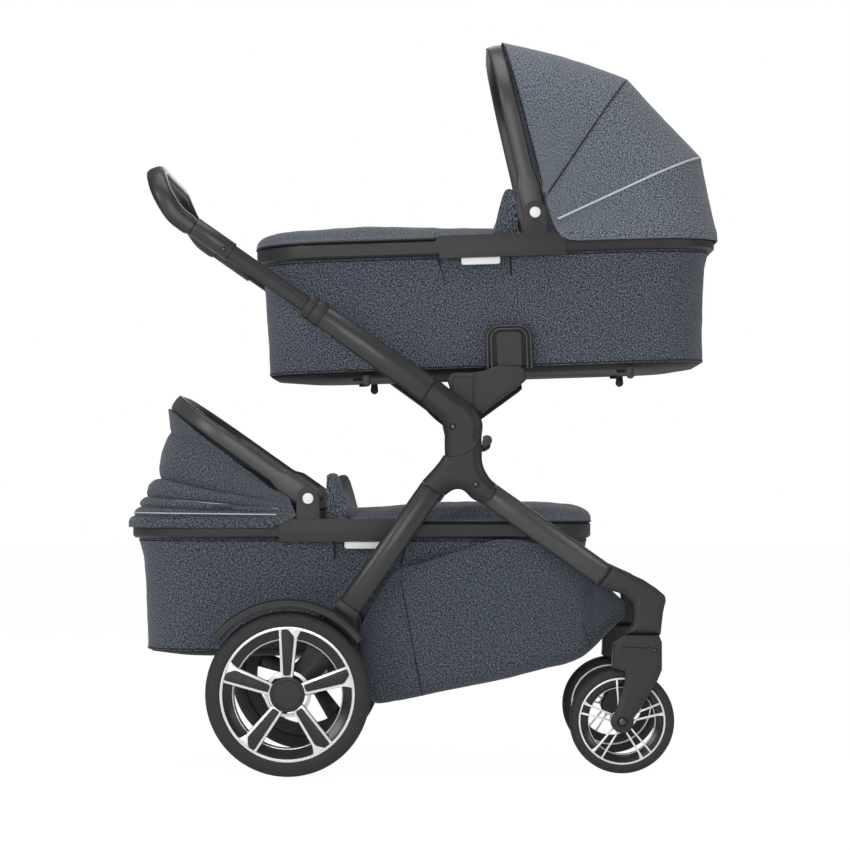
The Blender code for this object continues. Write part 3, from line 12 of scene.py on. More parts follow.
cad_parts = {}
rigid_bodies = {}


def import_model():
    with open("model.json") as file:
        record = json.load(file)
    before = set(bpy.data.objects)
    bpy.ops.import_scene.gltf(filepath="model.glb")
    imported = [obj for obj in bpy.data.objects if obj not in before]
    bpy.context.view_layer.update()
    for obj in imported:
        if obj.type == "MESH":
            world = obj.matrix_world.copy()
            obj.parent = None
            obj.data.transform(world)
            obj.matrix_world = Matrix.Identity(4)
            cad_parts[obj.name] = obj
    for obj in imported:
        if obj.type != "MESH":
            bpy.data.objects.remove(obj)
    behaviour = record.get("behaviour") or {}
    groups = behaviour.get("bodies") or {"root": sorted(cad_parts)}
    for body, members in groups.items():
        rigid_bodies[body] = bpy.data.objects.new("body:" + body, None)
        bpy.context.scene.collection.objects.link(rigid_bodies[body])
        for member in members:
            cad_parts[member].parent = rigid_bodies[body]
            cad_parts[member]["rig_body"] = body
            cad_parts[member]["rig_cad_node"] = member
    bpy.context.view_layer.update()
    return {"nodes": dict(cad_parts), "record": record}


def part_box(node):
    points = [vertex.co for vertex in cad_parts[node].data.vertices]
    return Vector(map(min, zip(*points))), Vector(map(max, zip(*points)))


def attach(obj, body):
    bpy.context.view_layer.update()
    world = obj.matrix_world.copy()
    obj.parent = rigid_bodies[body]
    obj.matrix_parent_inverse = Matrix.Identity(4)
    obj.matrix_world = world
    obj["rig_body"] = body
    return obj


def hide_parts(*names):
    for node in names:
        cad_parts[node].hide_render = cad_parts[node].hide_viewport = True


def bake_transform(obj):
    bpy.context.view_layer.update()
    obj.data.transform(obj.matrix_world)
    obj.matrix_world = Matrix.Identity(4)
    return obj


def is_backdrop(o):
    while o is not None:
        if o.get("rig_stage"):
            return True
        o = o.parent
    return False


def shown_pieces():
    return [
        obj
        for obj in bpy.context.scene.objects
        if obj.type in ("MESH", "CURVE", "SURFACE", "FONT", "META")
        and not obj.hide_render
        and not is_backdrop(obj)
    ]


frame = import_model()

# %% [markdown]
# Every measure below is in metres, in the frame of the CAD model: +X is the way the stroller is pushed, +Z is up, and
# the camera stands on the -Y side. These are the places that several pieces share.

# %% Shared places
FOLD_SCREW = (0.0535, 0.5933)
LEG_SCREW = (0.0926, 0.4948)
REAR_AXLE = (-0.2265, 0.14)
REAR_TRACK = 0.272
FRONT_AXLE = (0.3423, 0.09)
FRONT_TRACK = 0.2
FRAME_HALF = 0.245
SIDES = (("left", 1), ("right", -1))
COT_HALF = 0.402
COT_SIDE = 0.2125
COT_CORNER = 0.12
HOOD_PIVOT = (0.087, 0.0545)
TILT = radians(1.8)


def upper(x, y, z):
    """A point of the upper cot's own frame, in the world: the cot leans 1.8 degrees."""
    return (0.1091 + x * cos(TILT) - z * sin(TILT), y, 0.9055 + x * sin(TILT) + z * cos(TILT))


def lower(x, y, z):
    """A point of the lower cot's own frame: that cot stands level and faces the other way."""
    return (-0.1087 - x, -y, 0.4165 + z)


COTS = {"upper": upper, "lower": lower}
print("upper cot middle", upper(0, 0, 0), "lower cot middle", lower(0, 0, 0))

# %% [markdown]
# Modelling by hand is mostly the same few steps: add a primitive, shape it in edit mode, round its edges with a
# modifier, and apply it. These helpers do those steps with Blender's own operators.

# %% Helpers for hard pieces
SELECT_ALL = (bpy.ops.mesh.select_all, {"action": "SELECT"})
MERGE = (bpy.ops.mesh.remove_doubles, {"threshold": 0.00001})
FILL = (bpy.ops.mesh.fill_holes, {"sides": 0})
OUTWARD = (bpy.ops.mesh.normals_make_consistent, {"inside": False})
FLIP = (bpy.ops.mesh.flip_normals, {})


def take(piece):
    """Selects one piece alone and makes it active."""
    bpy.ops.object.select_all(action="DESELECT")
    piece.select_set(True)
    bpy.context.view_layer.objects.active = piece
    return piece


def edit(*steps):
    """Runs operators on the whole active mesh in edit mode."""
    bpy.ops.object.mode_set(mode="EDIT")
    bpy.ops.mesh.select_all(action="SELECT")
    for operator, settings in steps:
        operator(**settings)
    bpy.ops.object.mode_set(mode="OBJECT")


def modify(piece, kind, **settings):
    """Adds a modifier, sets it and applies it."""
    take(piece)
    modifier = piece.modifiers.new(kind.lower(), kind)
    for key, value in settings.items():
        setattr(modifier, key, value)
    bpy.ops.object.modifier_apply(modifier=modifier.name)
    return piece


def rounded(piece, width, segments=2, angle=30):
    return modify(piece, "BEVEL", width=width, segments=segments, limit_method="ANGLE",
                  angle_limit=radians(angle), harden_normals=False)


def smooth(piece, angle=35):
    take(piece)
    bpy.ops.object.shade_smooth_by_angle(angle=radians(angle), keep_sharp_edges=False)
    return piece


def finished(piece, name, finish, body, slot, *stands_for):
    """Names a piece, gives it its finish and its body, and hides the CAD nodes it stands for. A body of two names and
    two places is for cloth that crosses a hinge: such a piece is only fixed in place in the world, in neither body."""
    piece.name = name
    piece.data.name = name
    piece.data.materials.clear()
    for each in finish if isinstance(finish, tuple) else (finish,):
        piece.data.materials.append(each)
    if isinstance(body, str):
        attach(piece, body)
    else:
        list(body)
        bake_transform(piece)
    if stands_for:
        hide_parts(*stands_for)
    return piece


def beside(centre, points):
    """Points in the picture's plane that are given from a centre."""
    return [(centre[0] + x, centre[1] + z) for x, z in points]


def arc(centre, radius, start, end, count):
    """Points on part of a circle, from one angle to another in degrees."""
    turns = [radians(start + (end - start) * k / count) for k in range(count + 1)]
    return [(centre[0] + radius * cos(turn), centre[1] + radius * sin(turn)) for turn in turns]


def loop_of(points, fill="NOTHING"):
    """A closed loop of edges through points, or one many-sided face."""
    bpy.ops.object.select_all(action="DESELECT")
    bpy.ops.mesh.primitive_circle_add(vertices=len(points), radius=0.05, fill_type=fill)
    for corner, point in zip(bpy.context.object.data.vertices, points):
        corner.co = point
    return bpy.context.object


def slab(outline, near, far, edge=0.0, segments=2):
    """A plate: a flat many-sided face takes the outline, is extruded across, and its edges are rounded."""
    piece = loop_of([(x, near, z) for x, z in outline], "NGON")
    edit((bpy.ops.mesh.extrude_region_move, {"TRANSFORM_OT_translate": {"value": (0, far - near, 0)}}),
         SELECT_ALL, OUTWARD)
    return rounded(piece, edge, segments) if edge else piece


def spin(centre, steps, angle=tau):
    """The edit step that turns a loop about an axle that runs across the stroller."""
    return bpy.ops.mesh.spin, {"steps": steps, "angle": angle, "center": (centre[0], 0, centre[1]), "axis": (0, 1, 0)}


def spun(profile, centre, steps):
    """A turned piece: a loop of (radius, y) points is spun about an axle."""
    piece = loop_of([(centre[0] + radius, y, centre[1]) for radius, y in profile])
    edit(spin(centre, steps), SELECT_ALL, MERGE, OUTWARD)
    return piece


def joined(pieces):
    take(pieces[0])
    for piece in pieces[1:]:
        piece.select_set(True)
    if len(pieces) > 1:
        bpy.ops.object.join()
    return bpy.context.object


def turned_copies(piece, centre, angles):
    """Copies of a piece, each with a mesh of its own, turned about an axle by an angle in the picture's plane."""
    copies = []
    for angle in angles:
        take(piece)
        bpy.ops.object.duplicate()
        copy = bpy.context.object
        c, s = cos(radians(angle)), sin(radians(angle))
        for vertex in copy.data.vertices:
            x, z = vertex.co.x - centre[0], vertex.co.z - centre[1]
            vertex.co = (centre[0] + c * x - s * z, vertex.co.y, centre[1] + s * x + c * z)
        copies.append(copy)
    bpy.data.objects.remove(piece)
    return joined(copies)


def closer(name):
    """A copy of a CAD node, free of its body, with its triangles merged and its flat faces joined."""
    take(frame["nodes"][name])
    bpy.ops.object.duplicate()
    piece = bpy.context.object
    bpy.ops.object.parent_clear(type="CLEAR_KEEP_TRANSFORM")
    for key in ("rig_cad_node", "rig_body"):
        if key in piece:
            del piece[key]
    edit(MERGE, (bpy.ops.mesh.dissolve_limited, {"angle_limit": radians(1)}))
    return piece


def tube(points, radius, closed=False, resolution=2):
    """A thin round piece along points, such as a piping or a seam: a curve with a bevel, made a mesh."""
    curve = bpy.data.curves.new("line", "CURVE")
    curve.dimensions = "3D"
    curve.bevel_depth = radius
    curve.bevel_resolution = resolution
    curve.use_fill_caps = True
    line = curve.splines.new("POLY")
    line.points.add(len(points) - 1)
    for knot, point in zip(line.points, points):
        knot.co = (*point, 1)
    line.use_cyclic_u = closed
    piece = bpy.data.objects.new("line", curve)
    bpy.context.scene.collection.objects.link(piece)
    take(piece)
    bpy.ops.object.convert(target="MESH")
    return bpy.context.object


def flat_tube(points, y, radius):
    """A tube in a plane that stands at y."""
    return tube([(x, y, z) for x, z in points], radius)


print("helpers ready")

# %% [markdown]
# Cloth on this stroller is stretched over frames, so each soft piece is a dense sheet of rows of points, with its size
# in metres kept in a UV map. The weave of the cloth then follows the sheet round every corner.

# %% Helpers for cloth
def lengths(points):
    """How far along a line of points each of them lies."""
    run = [0.0]
    for a, b in zip(points, points[1:]):
        run.append(run[-1] + (Vector(b) - Vector(a)).length)
    return run


def sheet_of(rows, closed=False, steps=(OUTWARD,)):
    """A sheet through rows of points. Its UV map holds real lengths, so that a weave keeps its scale."""
    mesh = bpy.data.meshes.new("sheet")
    width = len(rows[0])
    middle_row = list(rows[len(rows) // 2])
    along = lengths(middle_row + middle_row[:1] if closed else middle_row)
    down = lengths([row[width // 3] for row in rows])
    faces, corners = [], []
    for r in range(len(rows) - 1):
        for k in range(width if closed else width - 1):
            n = (k + 1) % width
            faces.append((r * width + k, r * width + n, (r + 1) * width + n, (r + 1) * width + k))
            corners += [(along[k + i], down[r + j]) for i, j in ((0, 0), (1, 0), (1, 1), (0, 1))]
    mesh.from_pydata([tuple(p) for row in rows for p in row], [], faces)
    for loop, corner in zip(mesh.uv_layers.new(name="cloth").data, corners):
        loop.uv = corner
    piece = bpy.data.objects.new("sheet", mesh)
    bpy.context.scene.collection.objects.link(piece)
    take(piece)
    edit(*steps)
    return piece


def faced_from(sheet, middle):
    """Turns a sheet's faces away from a place inside it."""
    if sum((p.center - middle).dot(p.normal) * p.area for p in sheet.data.polygons) < 0:
        edit(FLIP)


def curve_through(values, share):
    """A smooth value between a list's entries: a Catmull-Rom curve through points."""
    spans = len(values) - 1
    k = min(int(share * spans), spans - 1)
    t = share * spans - k
    a, b = values[max(k - 1, 0)], values[k]
    c, d = values[k + 1], values[min(k + 2, spans)]
    return 0.5 * ((2 * b) + (c - a) * t + (2 * a - 5 * b + 4 * c - d) * t * t + (3 * b - a - 3 * c + d) * t * t * t)


def point_through(points, share):
    return tuple(curve_through(values, share) for values in zip(*points))


def line_through(points, count):
    """Points on a smooth curve through the given ones, without the last."""
    return [point_through(points, k / count) for k in range(count)]


def mirrored(points):
    """Half an outline and its mirror image, from one side over the middle to the other."""
    return points + [(-y, z) for y, z in reversed(points[:-1])]


def ovals(count, across_power, up_power):
    """Points round a rounded rectangle of half size 1. A lower power makes its sides flatter."""
    made = []
    for k in range(count):
        c, s = cos(tau * k / count), sin(tau * k / count)
        made.append((copysign(abs(c) ** across_power, c), copysign(abs(s) ** up_power, s)))
    return made


def crinkle(place, size, seed):
    """Soft unevenness of cloth at a place, between about -1 and 1."""
    p = Vector(place) / size + Vector((seed * 7.3, seed * 1.9, seed * 3.1))
    return noise.noise(p) + 0.4 * noise.noise(p * 2.3)


def ruffle(piece, amount, size, seed, stretch=(1, 1, 1), weight=lambda place: 1.0):
    """Moves a sheet's points along their normals by soft noise."""
    mesh = piece.data
    normals = [v.normal.copy() for v in mesh.vertices]
    for vertex, normal in zip(mesh.vertices, normals):
        p = Vector((vertex.co.x * stretch[0], vertex.co.y * stretch[1], vertex.co.z * stretch[2]))
        vertex.co += normal * (amount * weight(vertex.co) * crinkle(p, size, seed))


print("cloth helpers ready")

# %% [markdown]
# A finish starts from one Principled shader. Fine unevenness comes from noise in the object's own coordinates, so it
# stays on the piece when it moves. Numbers that are the same all over are set on the shader's own sockets.

# %% Finishes for the hard parts
def shader_of(finish):
    return finish.node_tree.nodes["Principled BSDF"]


def new_finish(name, colour, roughness, metallic=0.0, coat=0.0, sheen=0.0):
    finish = bpy.data.materials.new(name)
    finish.use_nodes = True
    for socket, value in (("Base Color", (*colour, 1)), ("Roughness", roughness), ("Metallic", metallic),
                          ("Coat Weight", coat), ("Sheen Weight", sheen), ("Sheen Roughness", 0.5)):
        shader_of(finish).inputs[socket].default_value = value
    return finish


def node(owner, kind, **settings):
    """A node in a finish or a world. Each setting is the value of an input, or else of the node itself."""
    made = owner.node_tree.nodes.new("ShaderNode" + kind)
    for key, value in settings.items():
        if key in made.inputs:
            made.inputs[key].default_value = value
        else:
            setattr(made, key, value)
    return made


def maths(owner, operation, second=0.5):
    """A Math node. Its second number counts only where nothing is wired to it."""
    made = node(owner, "Math", operation=operation)
    made.inputs[1].default_value = second
    return made


def wire(start, output, end, socket):
    start.id_data.links.new(start.outputs[output], end.inputs[socket])


def tinted(finish, source, output, *stops):
    """Wires a value through a colour ramp, given as (position, colour), into the shader's colour."""
    tones = node(finish, "ValToRGB")
    first, last = tones.color_ramp.elements
    first.position, first.color = stops[0][0], (*stops[0][1], 1)
    last.position, last.color = stops[-1][0], (*stops[-1][1], 1)
    for position, colour in stops[1:-1]:
        tones.color_ramp.elements.new(position).color = (*colour, 1)
    wire(source, output, tones, "Fac")
    wire(tones, "Color", shader_of(finish), "Base Color")


def embossed(finish, source, output, strength, distance):
    """Wires a height through a bump into the shader's normal."""
    relief = node(finish, "Bump", Strength=strength, Distance=distance)
    wire(source, output, relief, "Height")
    wire(relief, "Normal", shader_of(finish), "Normal")


def grained(name, colour, roughness, metallic, coat, spread, scale, bump, bump_scale):
    """Cloudy colour variation from a coarse noise, and a fine moulded or sprayed grain as a bump."""
    finish = new_finish(name, colour, roughness, metallic, coat)
    place = node(finish, "TexCoord")
    clouds = node(finish, "TexNoise", Scale=scale, Detail=3)
    grain = node(finish, "TexNoise", Scale=bump_scale, Detail=2)
    wire(place, "Object", clouds, "Vector")
    wire(place, "Object", grain, "Vector")
    tinted(finish, clouds, "Fac", (0.3, [c * (1 - spread) for c in colour]), (0.7, [c * (1 + spread) for c in colour]))
    embossed(finish, grain, "Fac", bump, 0.0003)
    return finish


frame_paint = grained("satin_frame_paint", (0.029, 0.029, 0.031), 0.4, 0.25, 0.15, 0.06, 14, 0.12, 2600)
# The legs' paint is lighter than the frame paint: partly the legs' own lighter finish, partly a painted highlight for
# the light on their top faces.
leg_paint_and_painted_highlight = grained("satin_leg_paint", (0.058, 0.058, 0.061), 0.36, 0.3, 0.15, 0.06, 14, 0.12, 2600)
casting_paint = grained("satin_casting_paint", (0.011, 0.011, 0.0122), 0.46, 0.1, 0, 0.06, 18, 0.15, 2200)
# The bow's plastic is about three times lighter than the moulded plastic of the rail: a painted highlight for the light
# along the bow.
bow_plastic_painted_highlight = grained("satin_bow_plastic", (0.05, 0.05, 0.05), 0.36, 0.1, 0, 0.05, 20, 0.12, 1800)
case_plastic = grained("moulded_grey_plastic", (0.0165, 0.0165, 0.0165), 0.5, 0, 0, 0.05, 20, 0.2, 1800)
adapter_plastic = grained("adapter_plastic", (0.0135, 0.0135, 0.0145), 0.5, 0, 0, 0.05, 20, 0.2, 1600)
black_plastic = grained("black_moulded_plastic", (0.016, 0.016, 0.017), 0.45, 0, 0, 0.1, 20, 0.2, 1800)
pad_plastic = grained("spoke_pad_plastic", (0.013, 0.013, 0.014), 0.5, 0, 0, 0.1, 30, 0.25, 1500)
barrel_plastic = grained("glossy_barrel_plastic", (0.009, 0.009, 0.01), 0.25, 0, 0, 0.1, 30, 0.05, 1500)
silver = grained("polished_silver", (0.8, 0.8, 0.81), 0.25, 0.3, 0, 0.04, 25, 0.05, 2000)
white_plastic = grained("white_button_plastic", (0.8, 0.8, 0.79), 0.38, 0, 0, 0.02, 30, 0.06, 1500)
bolt_steel = grained("dark_bolt_steel", (0.1, 0.1, 0.1), 0.3, 0.9, 0, 0.1, 60, 0.1, 3000)
seam_black = grained("seam_black", (0.004, 0.004, 0.005), 0.8, 0, 0, 0.15, 40, 0.2, 1500)
band_plastic = grained("base_band_plastic", (0.004, 0.004, 0.004), 0.7, 0, 0, 0.08, 12, 0.15, 1500)
print("hard finishes", len(bpy.data.materials))

# %% [markdown]
# Tyre rubber is dull, dusty and a little uneven. Its tread marks repeat round the axle, so they come from the turning
# angle, which a radial gradient gives once a Mapping node has moved the wheel's middle to the zero of its pattern.

# %% Tyre rubber
def rubber(name, centre, blocks):
    finish = new_finish(name, (0.036, 0.036, 0.037), 0.72)
    place = node(finish, "TexCoord")
    middle = node(finish, "Mapping", vector_type="POINT", Location=(-centre[0], 0, -centre[1]))
    flat = node(finish, "SeparateXYZ")
    turned = node(finish, "CombineXYZ")
    angle = node(finish, "TexGradient", gradient_type="RADIAL")
    times = maths(finish, "MULTIPLY", blocks)
    wave = maths(finish, "PINGPONG")
    edge = maths(finish, "GREATER_THAN", 0.07)
    clouds = node(finish, "TexNoise", Scale=45, Detail=6, Roughness=0.7)
    for link in ((place, "Object", middle, "Vector"), (middle, "Vector", flat, "Vector"), (flat, "X", turned, "X"),
                 (flat, "Z", turned, "Y"), (turned, "Vector", angle, "Vector"), (angle, "Fac", times, 0),
                 (times, "Value", wave, 0), (wave, "Value", edge, 0), (place, "Object", clouds, "Vector")):
        wire(*link)
    embossed(finish, edge, "Value", 0.5, 0.0006)
    tinted(finish, clouds, "Fac", (0, (0.013, 0.013, 0.013)), (1, (0.026, 0.026, 0.026)))
    return finish


print("rubber is made for each axle")

# %% [markdown]
# The cloth is a heather weave: threads of two or three greys cross each other, so it reads as flecks and short
# streaks from a step away. Two stretched noises make the flecks, one for each direction of thread, and a finer
# checker adds the relief of the weave. All of it lies in the sheet's own UV map, in metres.

# %% Heather cloth
def heather(name, dark, middle, light, fleck=1.0):
    """A cloth of three tones. A lower fleck spreads them over more of the noise, so that they contrast less."""
    finish = new_finish(name, middle, 0.9, sheen=0.15)
    place = node(finish, "TexCoord")
    slant = node(finish, "VectorRotate", rotation_type="Z_AXIS", Angle=0.22)
    wire(place, "UV", slant, "Vector")
    both, half = maths(finish, "ADD"), maths(finish, "MULTIPLY")
    for number, scale in enumerate(((300, 760, 1), (760, 300, 1))):
        grid = node(finish, "Mapping", Scale=scale)
        threads = node(finish, "TexNoise", noise_dimensions="2D", Scale=1, Detail=1.5, Roughness=0.7)
        wire(slant, "Vector", grid, "Vector")
        wire(grid, "Vector", threads, "Vector")
        wire(threads, "Fac", both, number)
    wire(both, "Value", half, 0)
    tinted(finish, half, "Value", (0.5 - 0.05 / fleck, dark), (0.5, middle), (0.5 + 0.072 / fleck, light))
    checks = node(finish, "Mapping", Scale=(900, 900, 1))
    weave = node(finish, "TexChecker", Scale=1)
    height = maths(finish, "ADD")
    wire(place, "UV", checks, "Vector")
    wire(checks, "Vector", weave, "Vector")
    wire(weave, "Fac", height, 0)
    wire(half, "Value", height, 1)
    embossed(finish, height, "Value", 0.25, 0.0004)
    return finish


cot_cloth = heather("slate_heather_cloth", (0.005, 0.009, 0.017), (0.019, 0.027, 0.043), (0.155, 0.177, 0.215))
# The open hood's cloth is a lighter copy of the slate heather: painted light, for the light from above on the hood.
hood_cloth_painted_light = heather("hood_heather_cloth", (0.012, 0.019, 0.03), (0.042, 0.057, 0.077), (0.29, 0.32, 0.36))
cover_cloth = heather("cover_heather_cloth", (0.006, 0.01, 0.018), (0.021, 0.029, 0.044), (0.185, 0.209, 0.247))
basket_cloth = heather("basket_heather_cloth", (0.005, 0.009, 0.017), (0.018, 0.026, 0.041), (0.13, 0.151, 0.185))
# The folded hood's cloth is a darker copy of the hood's heather: painted shade, for folds that face down, away from the
# light.
folded_cloth_painted_shade = heather("folded_heather_cloth", (0.005, 0.008, 0.015), (0.017, 0.024, 0.038), (0.14, 0.16, 0.192))
lining_cloth = heather("pale_lining_cloth", (0.3, 0.3, 0.31), (0.4, 0.4, 0.41), (0.47, 0.47, 0.48), 0.6)
piping_cloth = grained("pale_piping", (0.5, 0.53, 0.56), 0.6, 0, 0, 0.06, 60, 0.2, 1500)
grip_leather = grained("stitched_grip_leather", (0.02, 0.019, 0.018), 0.42, 0, 0.1, 0.1, 40, 0.1, 900)
print("cloth finishes", cot_cloth.name, hood_cloth_painted_light.name, cover_cloth.name, basket_cloth.name)

# %% [markdown]
# The photograph is a catalogue view from far off, level with the middle of the stroller. A long lens keeps the near
# and the far side almost the same size, and a slight turn of the camera does the framing.

# %% Camera
FOCUS_PIXELS = 2905.6
PICTURE = 850
bpy.ops.object.camera_add(location=(0.0909, -5.2, 0.477))
camera = bpy.context.object
camera.name = "catalogue_camera"
sight = Vector(((PICTURE / 2 - 475) / FOCUS_PIXELS, 1, (495 - PICTURE / 2) / FOCUS_PIXELS))
camera.rotation_euler = sight.to_track_quat("-Z", "Y").to_euler()
camera.data.sensor_width = 36
camera.data.lens = FOCUS_PIXELS / PICTURE * 36
camera.data.clip_end = 60
bpy.context.scene.camera = camera
print("lens", round(camera.data.lens, 1))

# %% [markdown]
# The studio is white: a pale floor, a big soft lamp above, softer ones at the sides, and a world that the camera sees
# as plain white while it lights the pieces only a little. The floor keeps a faint shadow under the wheels.

# %% Floor, lamps and world
bpy.ops.mesh.primitive_grid_add(x_subdivisions=2, y_subdivisions=2, size=40, location=(0, 0, 0))
floor = bpy.context.object
floor.name = "studio_floor"
floor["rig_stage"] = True
paper = new_finish("studio_paper", (0.9, 0.9, 0.9), 0.9)
path = node(paper, "LightPath")
dim, seen, part = maths(paper, "MULTIPLY", 0.3), maths(paper, "MAXIMUM"), maths(paper, "MULTIPLY", 0.93)
glow = node(paper, "Emission", Strength=1.045)
blend = node(paper, "MixShader")
for link in ((path, "Is Glossy Ray", dim, 0), (path, "Is Camera Ray", seen, 0), (dim, "Value", seen, 1),
             (seen, "Value", part, 0), (part, "Value", blend, "Fac"), (shader_of(paper), "BSDF", blend, 1),
             (glow, "Emission", blend, 2), (blend, "Shader", paper.node_tree.nodes["Material Output"], "Surface")):
    wire(*link)
floor.data.materials.append(paper)

world = bpy.data.worlds.new("white_studio")
world.use_nodes = True
bpy.context.scene.world = world
back = world.node_tree.nodes["Background"]
back.inputs["Color"].default_value = (1, 1, 1, 1)
rays = node(world, "LightPath")
plain = maths(world, "MAXIMUM")
strength = node(world, "MapRange", **{"To Min": 0.27, "To Max": 1})
for link in ((rays, "Is Camera Ray", plain, 0), (rays, "Is Transmission Ray", plain, 1),
             (plain, "Value", strength, "Value"), (strength, "Result", back, "Strength")):
    wire(*link)
for name, place, aim, size, power in (("top_softbox", (-0.3, -0.8, 4.2), 0.6, 3, 80),
                                      ("left_softbox", (-3.4, -3.4, 2.2), 0.6, 1.8, 62),
                                      ("right_softbox", (3.6, -2.6, 1.8), 0.6, 1.8, 30),
                                      ("front_softbox", (-0.5, -4.6, 1.3), 0.6, 1.6, 40),
                                      ("back_softbox", (0.5, 3.5, 2.6), 0.7, 2.4, 40)):
    bpy.ops.object.light_add(type="AREA", location=place)
    light = bpy.context.object
    light.name = name
    light.data.shape = "SQUARE"
    light.data.size = size
    light.data.energy = power
    light.rotation_euler = (Vector((0, 0, aim)) - Vector(place)).to_track_quat("-Z", "Y").to_euler()
bpy.context.scene.view_settings.view_transform = "Standard"

# %% [markdown]
# A wheel of this stroller has a grey tyre, a black barrel that is set back, a thin silver ring and five spokes. Round
# pieces are spun about the axle from a section; a spoke is modelled once, standing up, and its copies are turned.
# Sections are given as (radius, distance out from the wheel's middle).

# %% Rear wheels
SPOKE_TURNS = (0, 72, 144, 216, 288)


def wheel_tools(kind, axle, track, tag, side):
    """The steps that the pieces of one wheel share."""
    body = f"{kind}_wheel_{tag}"

    def turned(profile, steps):
        return spun([(radius, side * (track + w)) for radius, w in profile], axle, steps)

    def spokes(outlines, outer, inner, edge):
        plates = [slab(beside(axle, line), side * (track + outer), side * (track + inner), edge) for line in outlines]
        return turned_copies(joined(plates), axle, SPOKE_TURNS)

    def done(piece, name, finish, *stands_for, angle=30):
        finished(smooth(piece, angle), f"{kind}_{name}_{tag}", finish, body, "wheel_rim", *stands_for)

    def tyre(half, steps, blocks):
        piece = turned([(r, -w) for r, w in reversed(half)] + half, steps)
        finish = rubber(f"{kind}_tyre_rubber_{tag}", axle, blocks)
        finished(smooth(piece), f"dressed_{kind}_tyre_{tag}", finish, body, "tyre_rubber", f"{kind}_tyre_{tag}")

    return turned, spokes, done, tyre


def rear_wheel(tag, side):
    turned, spokes, done, tyre = wheel_tools("rear", REAR_AXLE, REAR_TRACK, tag, side)
    tyre([(0.14, 0.004), (0.1392, 0.01), (0.1366, 0.016), (0.131, 0.0198), (0.1235, 0.021), (0.1172, 0.02),
          (0.114, 0.0168)], 128, 46)
    barrel = turned([(0.1145, 0.016), (0.1098, 0.0162), (0.1086, 0.014), (0.102, 0.0118), (0.095, 0.007),
                     (0.0926, 0.006), (0.0918, 0.0045), (0.0915, -0.015), (0.1145, -0.016)], 128)
    done(barrel, "barrel", barrel_plastic, f"rear_rim_{tag}", angle=25)
    ring = turned([(0.1148, 0.016), (0.1142, 0.018), (0.1108, 0.0184), (0.1097, 0.0172), (0.1099, 0.015),
                   (0.114, 0.015)], 128)
    outline = [(-0.0098, 0.0262), (-0.0112, 0.032), (-0.0146, 0.1125), (0.0262, 0.1105), (0.0205, 0.1035),
               (0.0166, 0.095), (0.0098, 0.032), (0.0084, 0.0262)]
    star = spokes([outline], 0.0163, 0.0065, 0.0012)
    done(spokes([[(u * 1.04, v) for u, v in outline]], 0.0064, 0.003, 0.0006), "spoke_backs", barrel_plastic)
    edge_line = turned([(0.094, 0.0068), (0.0932, 0.0078), (0.0922, 0.007), (0.0922, 0.0058)], 128)
    hub_ring = turned([(0.04, -0.002), (0.0395, 0.003), (0.034, 0.004), (0.0335, -0.002)], 64)
    done(joined([ring, star, edge_line, hub_ring]), "silver", silver)
    pad = [(-0.0068, 0.033), (-0.0102, 0.106), (-0.0088, 0.1098), (-0.0005, 0.1106), (0.0035, 0.1075),
           (0.011, 0.0985), (0.0118, 0.094), (0.0062, 0.0345), (0.0038, 0.0318), (-0.0044, 0.0318)]
    done(spokes([pad], 0.0178, 0.015, 0.001), "spoke_pads", pad_plastic)
    cap = turned([(0, 0.0192), (0.0232, 0.019), (0.0238, 0.0184), (0.0246, 0.019), (0.0285, 0.0184),
                  (0.0298, 0.017), (0.0298, 0.006), (0.025, -0.0165), (0, -0.0165)], 64)
    done(cap, "hub_cap", pad_plastic)


for tag, side in SIDES:
    rear_wheel(tag, side)

# %% [markdown]
# The front wheels are smaller and lighter: each spoke is a pair of thin silver bars, open between, so the far wheel
# shows through.

# %% Front wheels
def front_wheel(tag, side):
    turned, spokes, done, tyre = wheel_tools("front", FRONT_AXLE, FRONT_TRACK, tag, side)
    tyre([(0.09, 0.0025), (0.0894, 0.007), (0.0872, 0.0115), (0.0835, 0.0143), (0.079, 0.015), (0.0755, 0.014),
          (0.0742, 0.0118)], 112, 36)
    barrel = turned([(0.0745, 0.0112), (0.0712, 0.0112), (0.07, 0.0095), (0.064, 0.0075), (0.058, 0.0045),
                     (0.0568, 0.003), (0.0568, -0.01), (0.0745, -0.011)], 112)
    done(barrel, "barrel", barrel_plastic, f"front_rim_{tag}", angle=25)
    ring = [(0.0746, 0.0108), (0.0741, 0.0128), (0.0718, 0.013), (0.071, 0.012), (0.0712, 0.01)]
    bright = [turned([(r, face * w) for r, w in ring], 112) for face in (1, -1)]
    bright.append(turned([(0.0582, 0.0046), (0.0574, 0.0054), (0.0566, 0.0046), (0.0566, 0.0034)], 96))
    bright.append(turned([(0.0196, 0.002), (0.0196, 0.005), (0.0172, 0.0056), (0.0172, 0.002)], 48))
    bars = [[(-0.0064, 0.0165), (-0.0104, 0.0725), (-0.0072, 0.0728), (-0.0034, 0.0165)],
            [(0.0034, 0.0165), (0.0072, 0.0728), (0.015, 0.0715), (0.0118, 0.0672), (0.01, 0.061), (0.0064, 0.0165)]]
    bright.append(spokes(bars, 0.0118, 0.004, 0.0006))
    done(joined(bright), "silver", silver)
    hub = turned([(0, 0.0095), (0.012, 0.0093), (0.0172, 0.0065), (0.018, -0.0065), (0.012, -0.0093),
                  (0, -0.0095)], 48)
    done(hub, "hub", pad_plastic)


for tag, side in SIDES:
    front_wheel(tag, side)
print("front wheels done")

# %% [markdown]
# Each rear wheel runs under a thin black fender: a channel with a crowned top, bent round the wheel. Part of a turn
# with the spin operator gives it, and its two ends are filled.

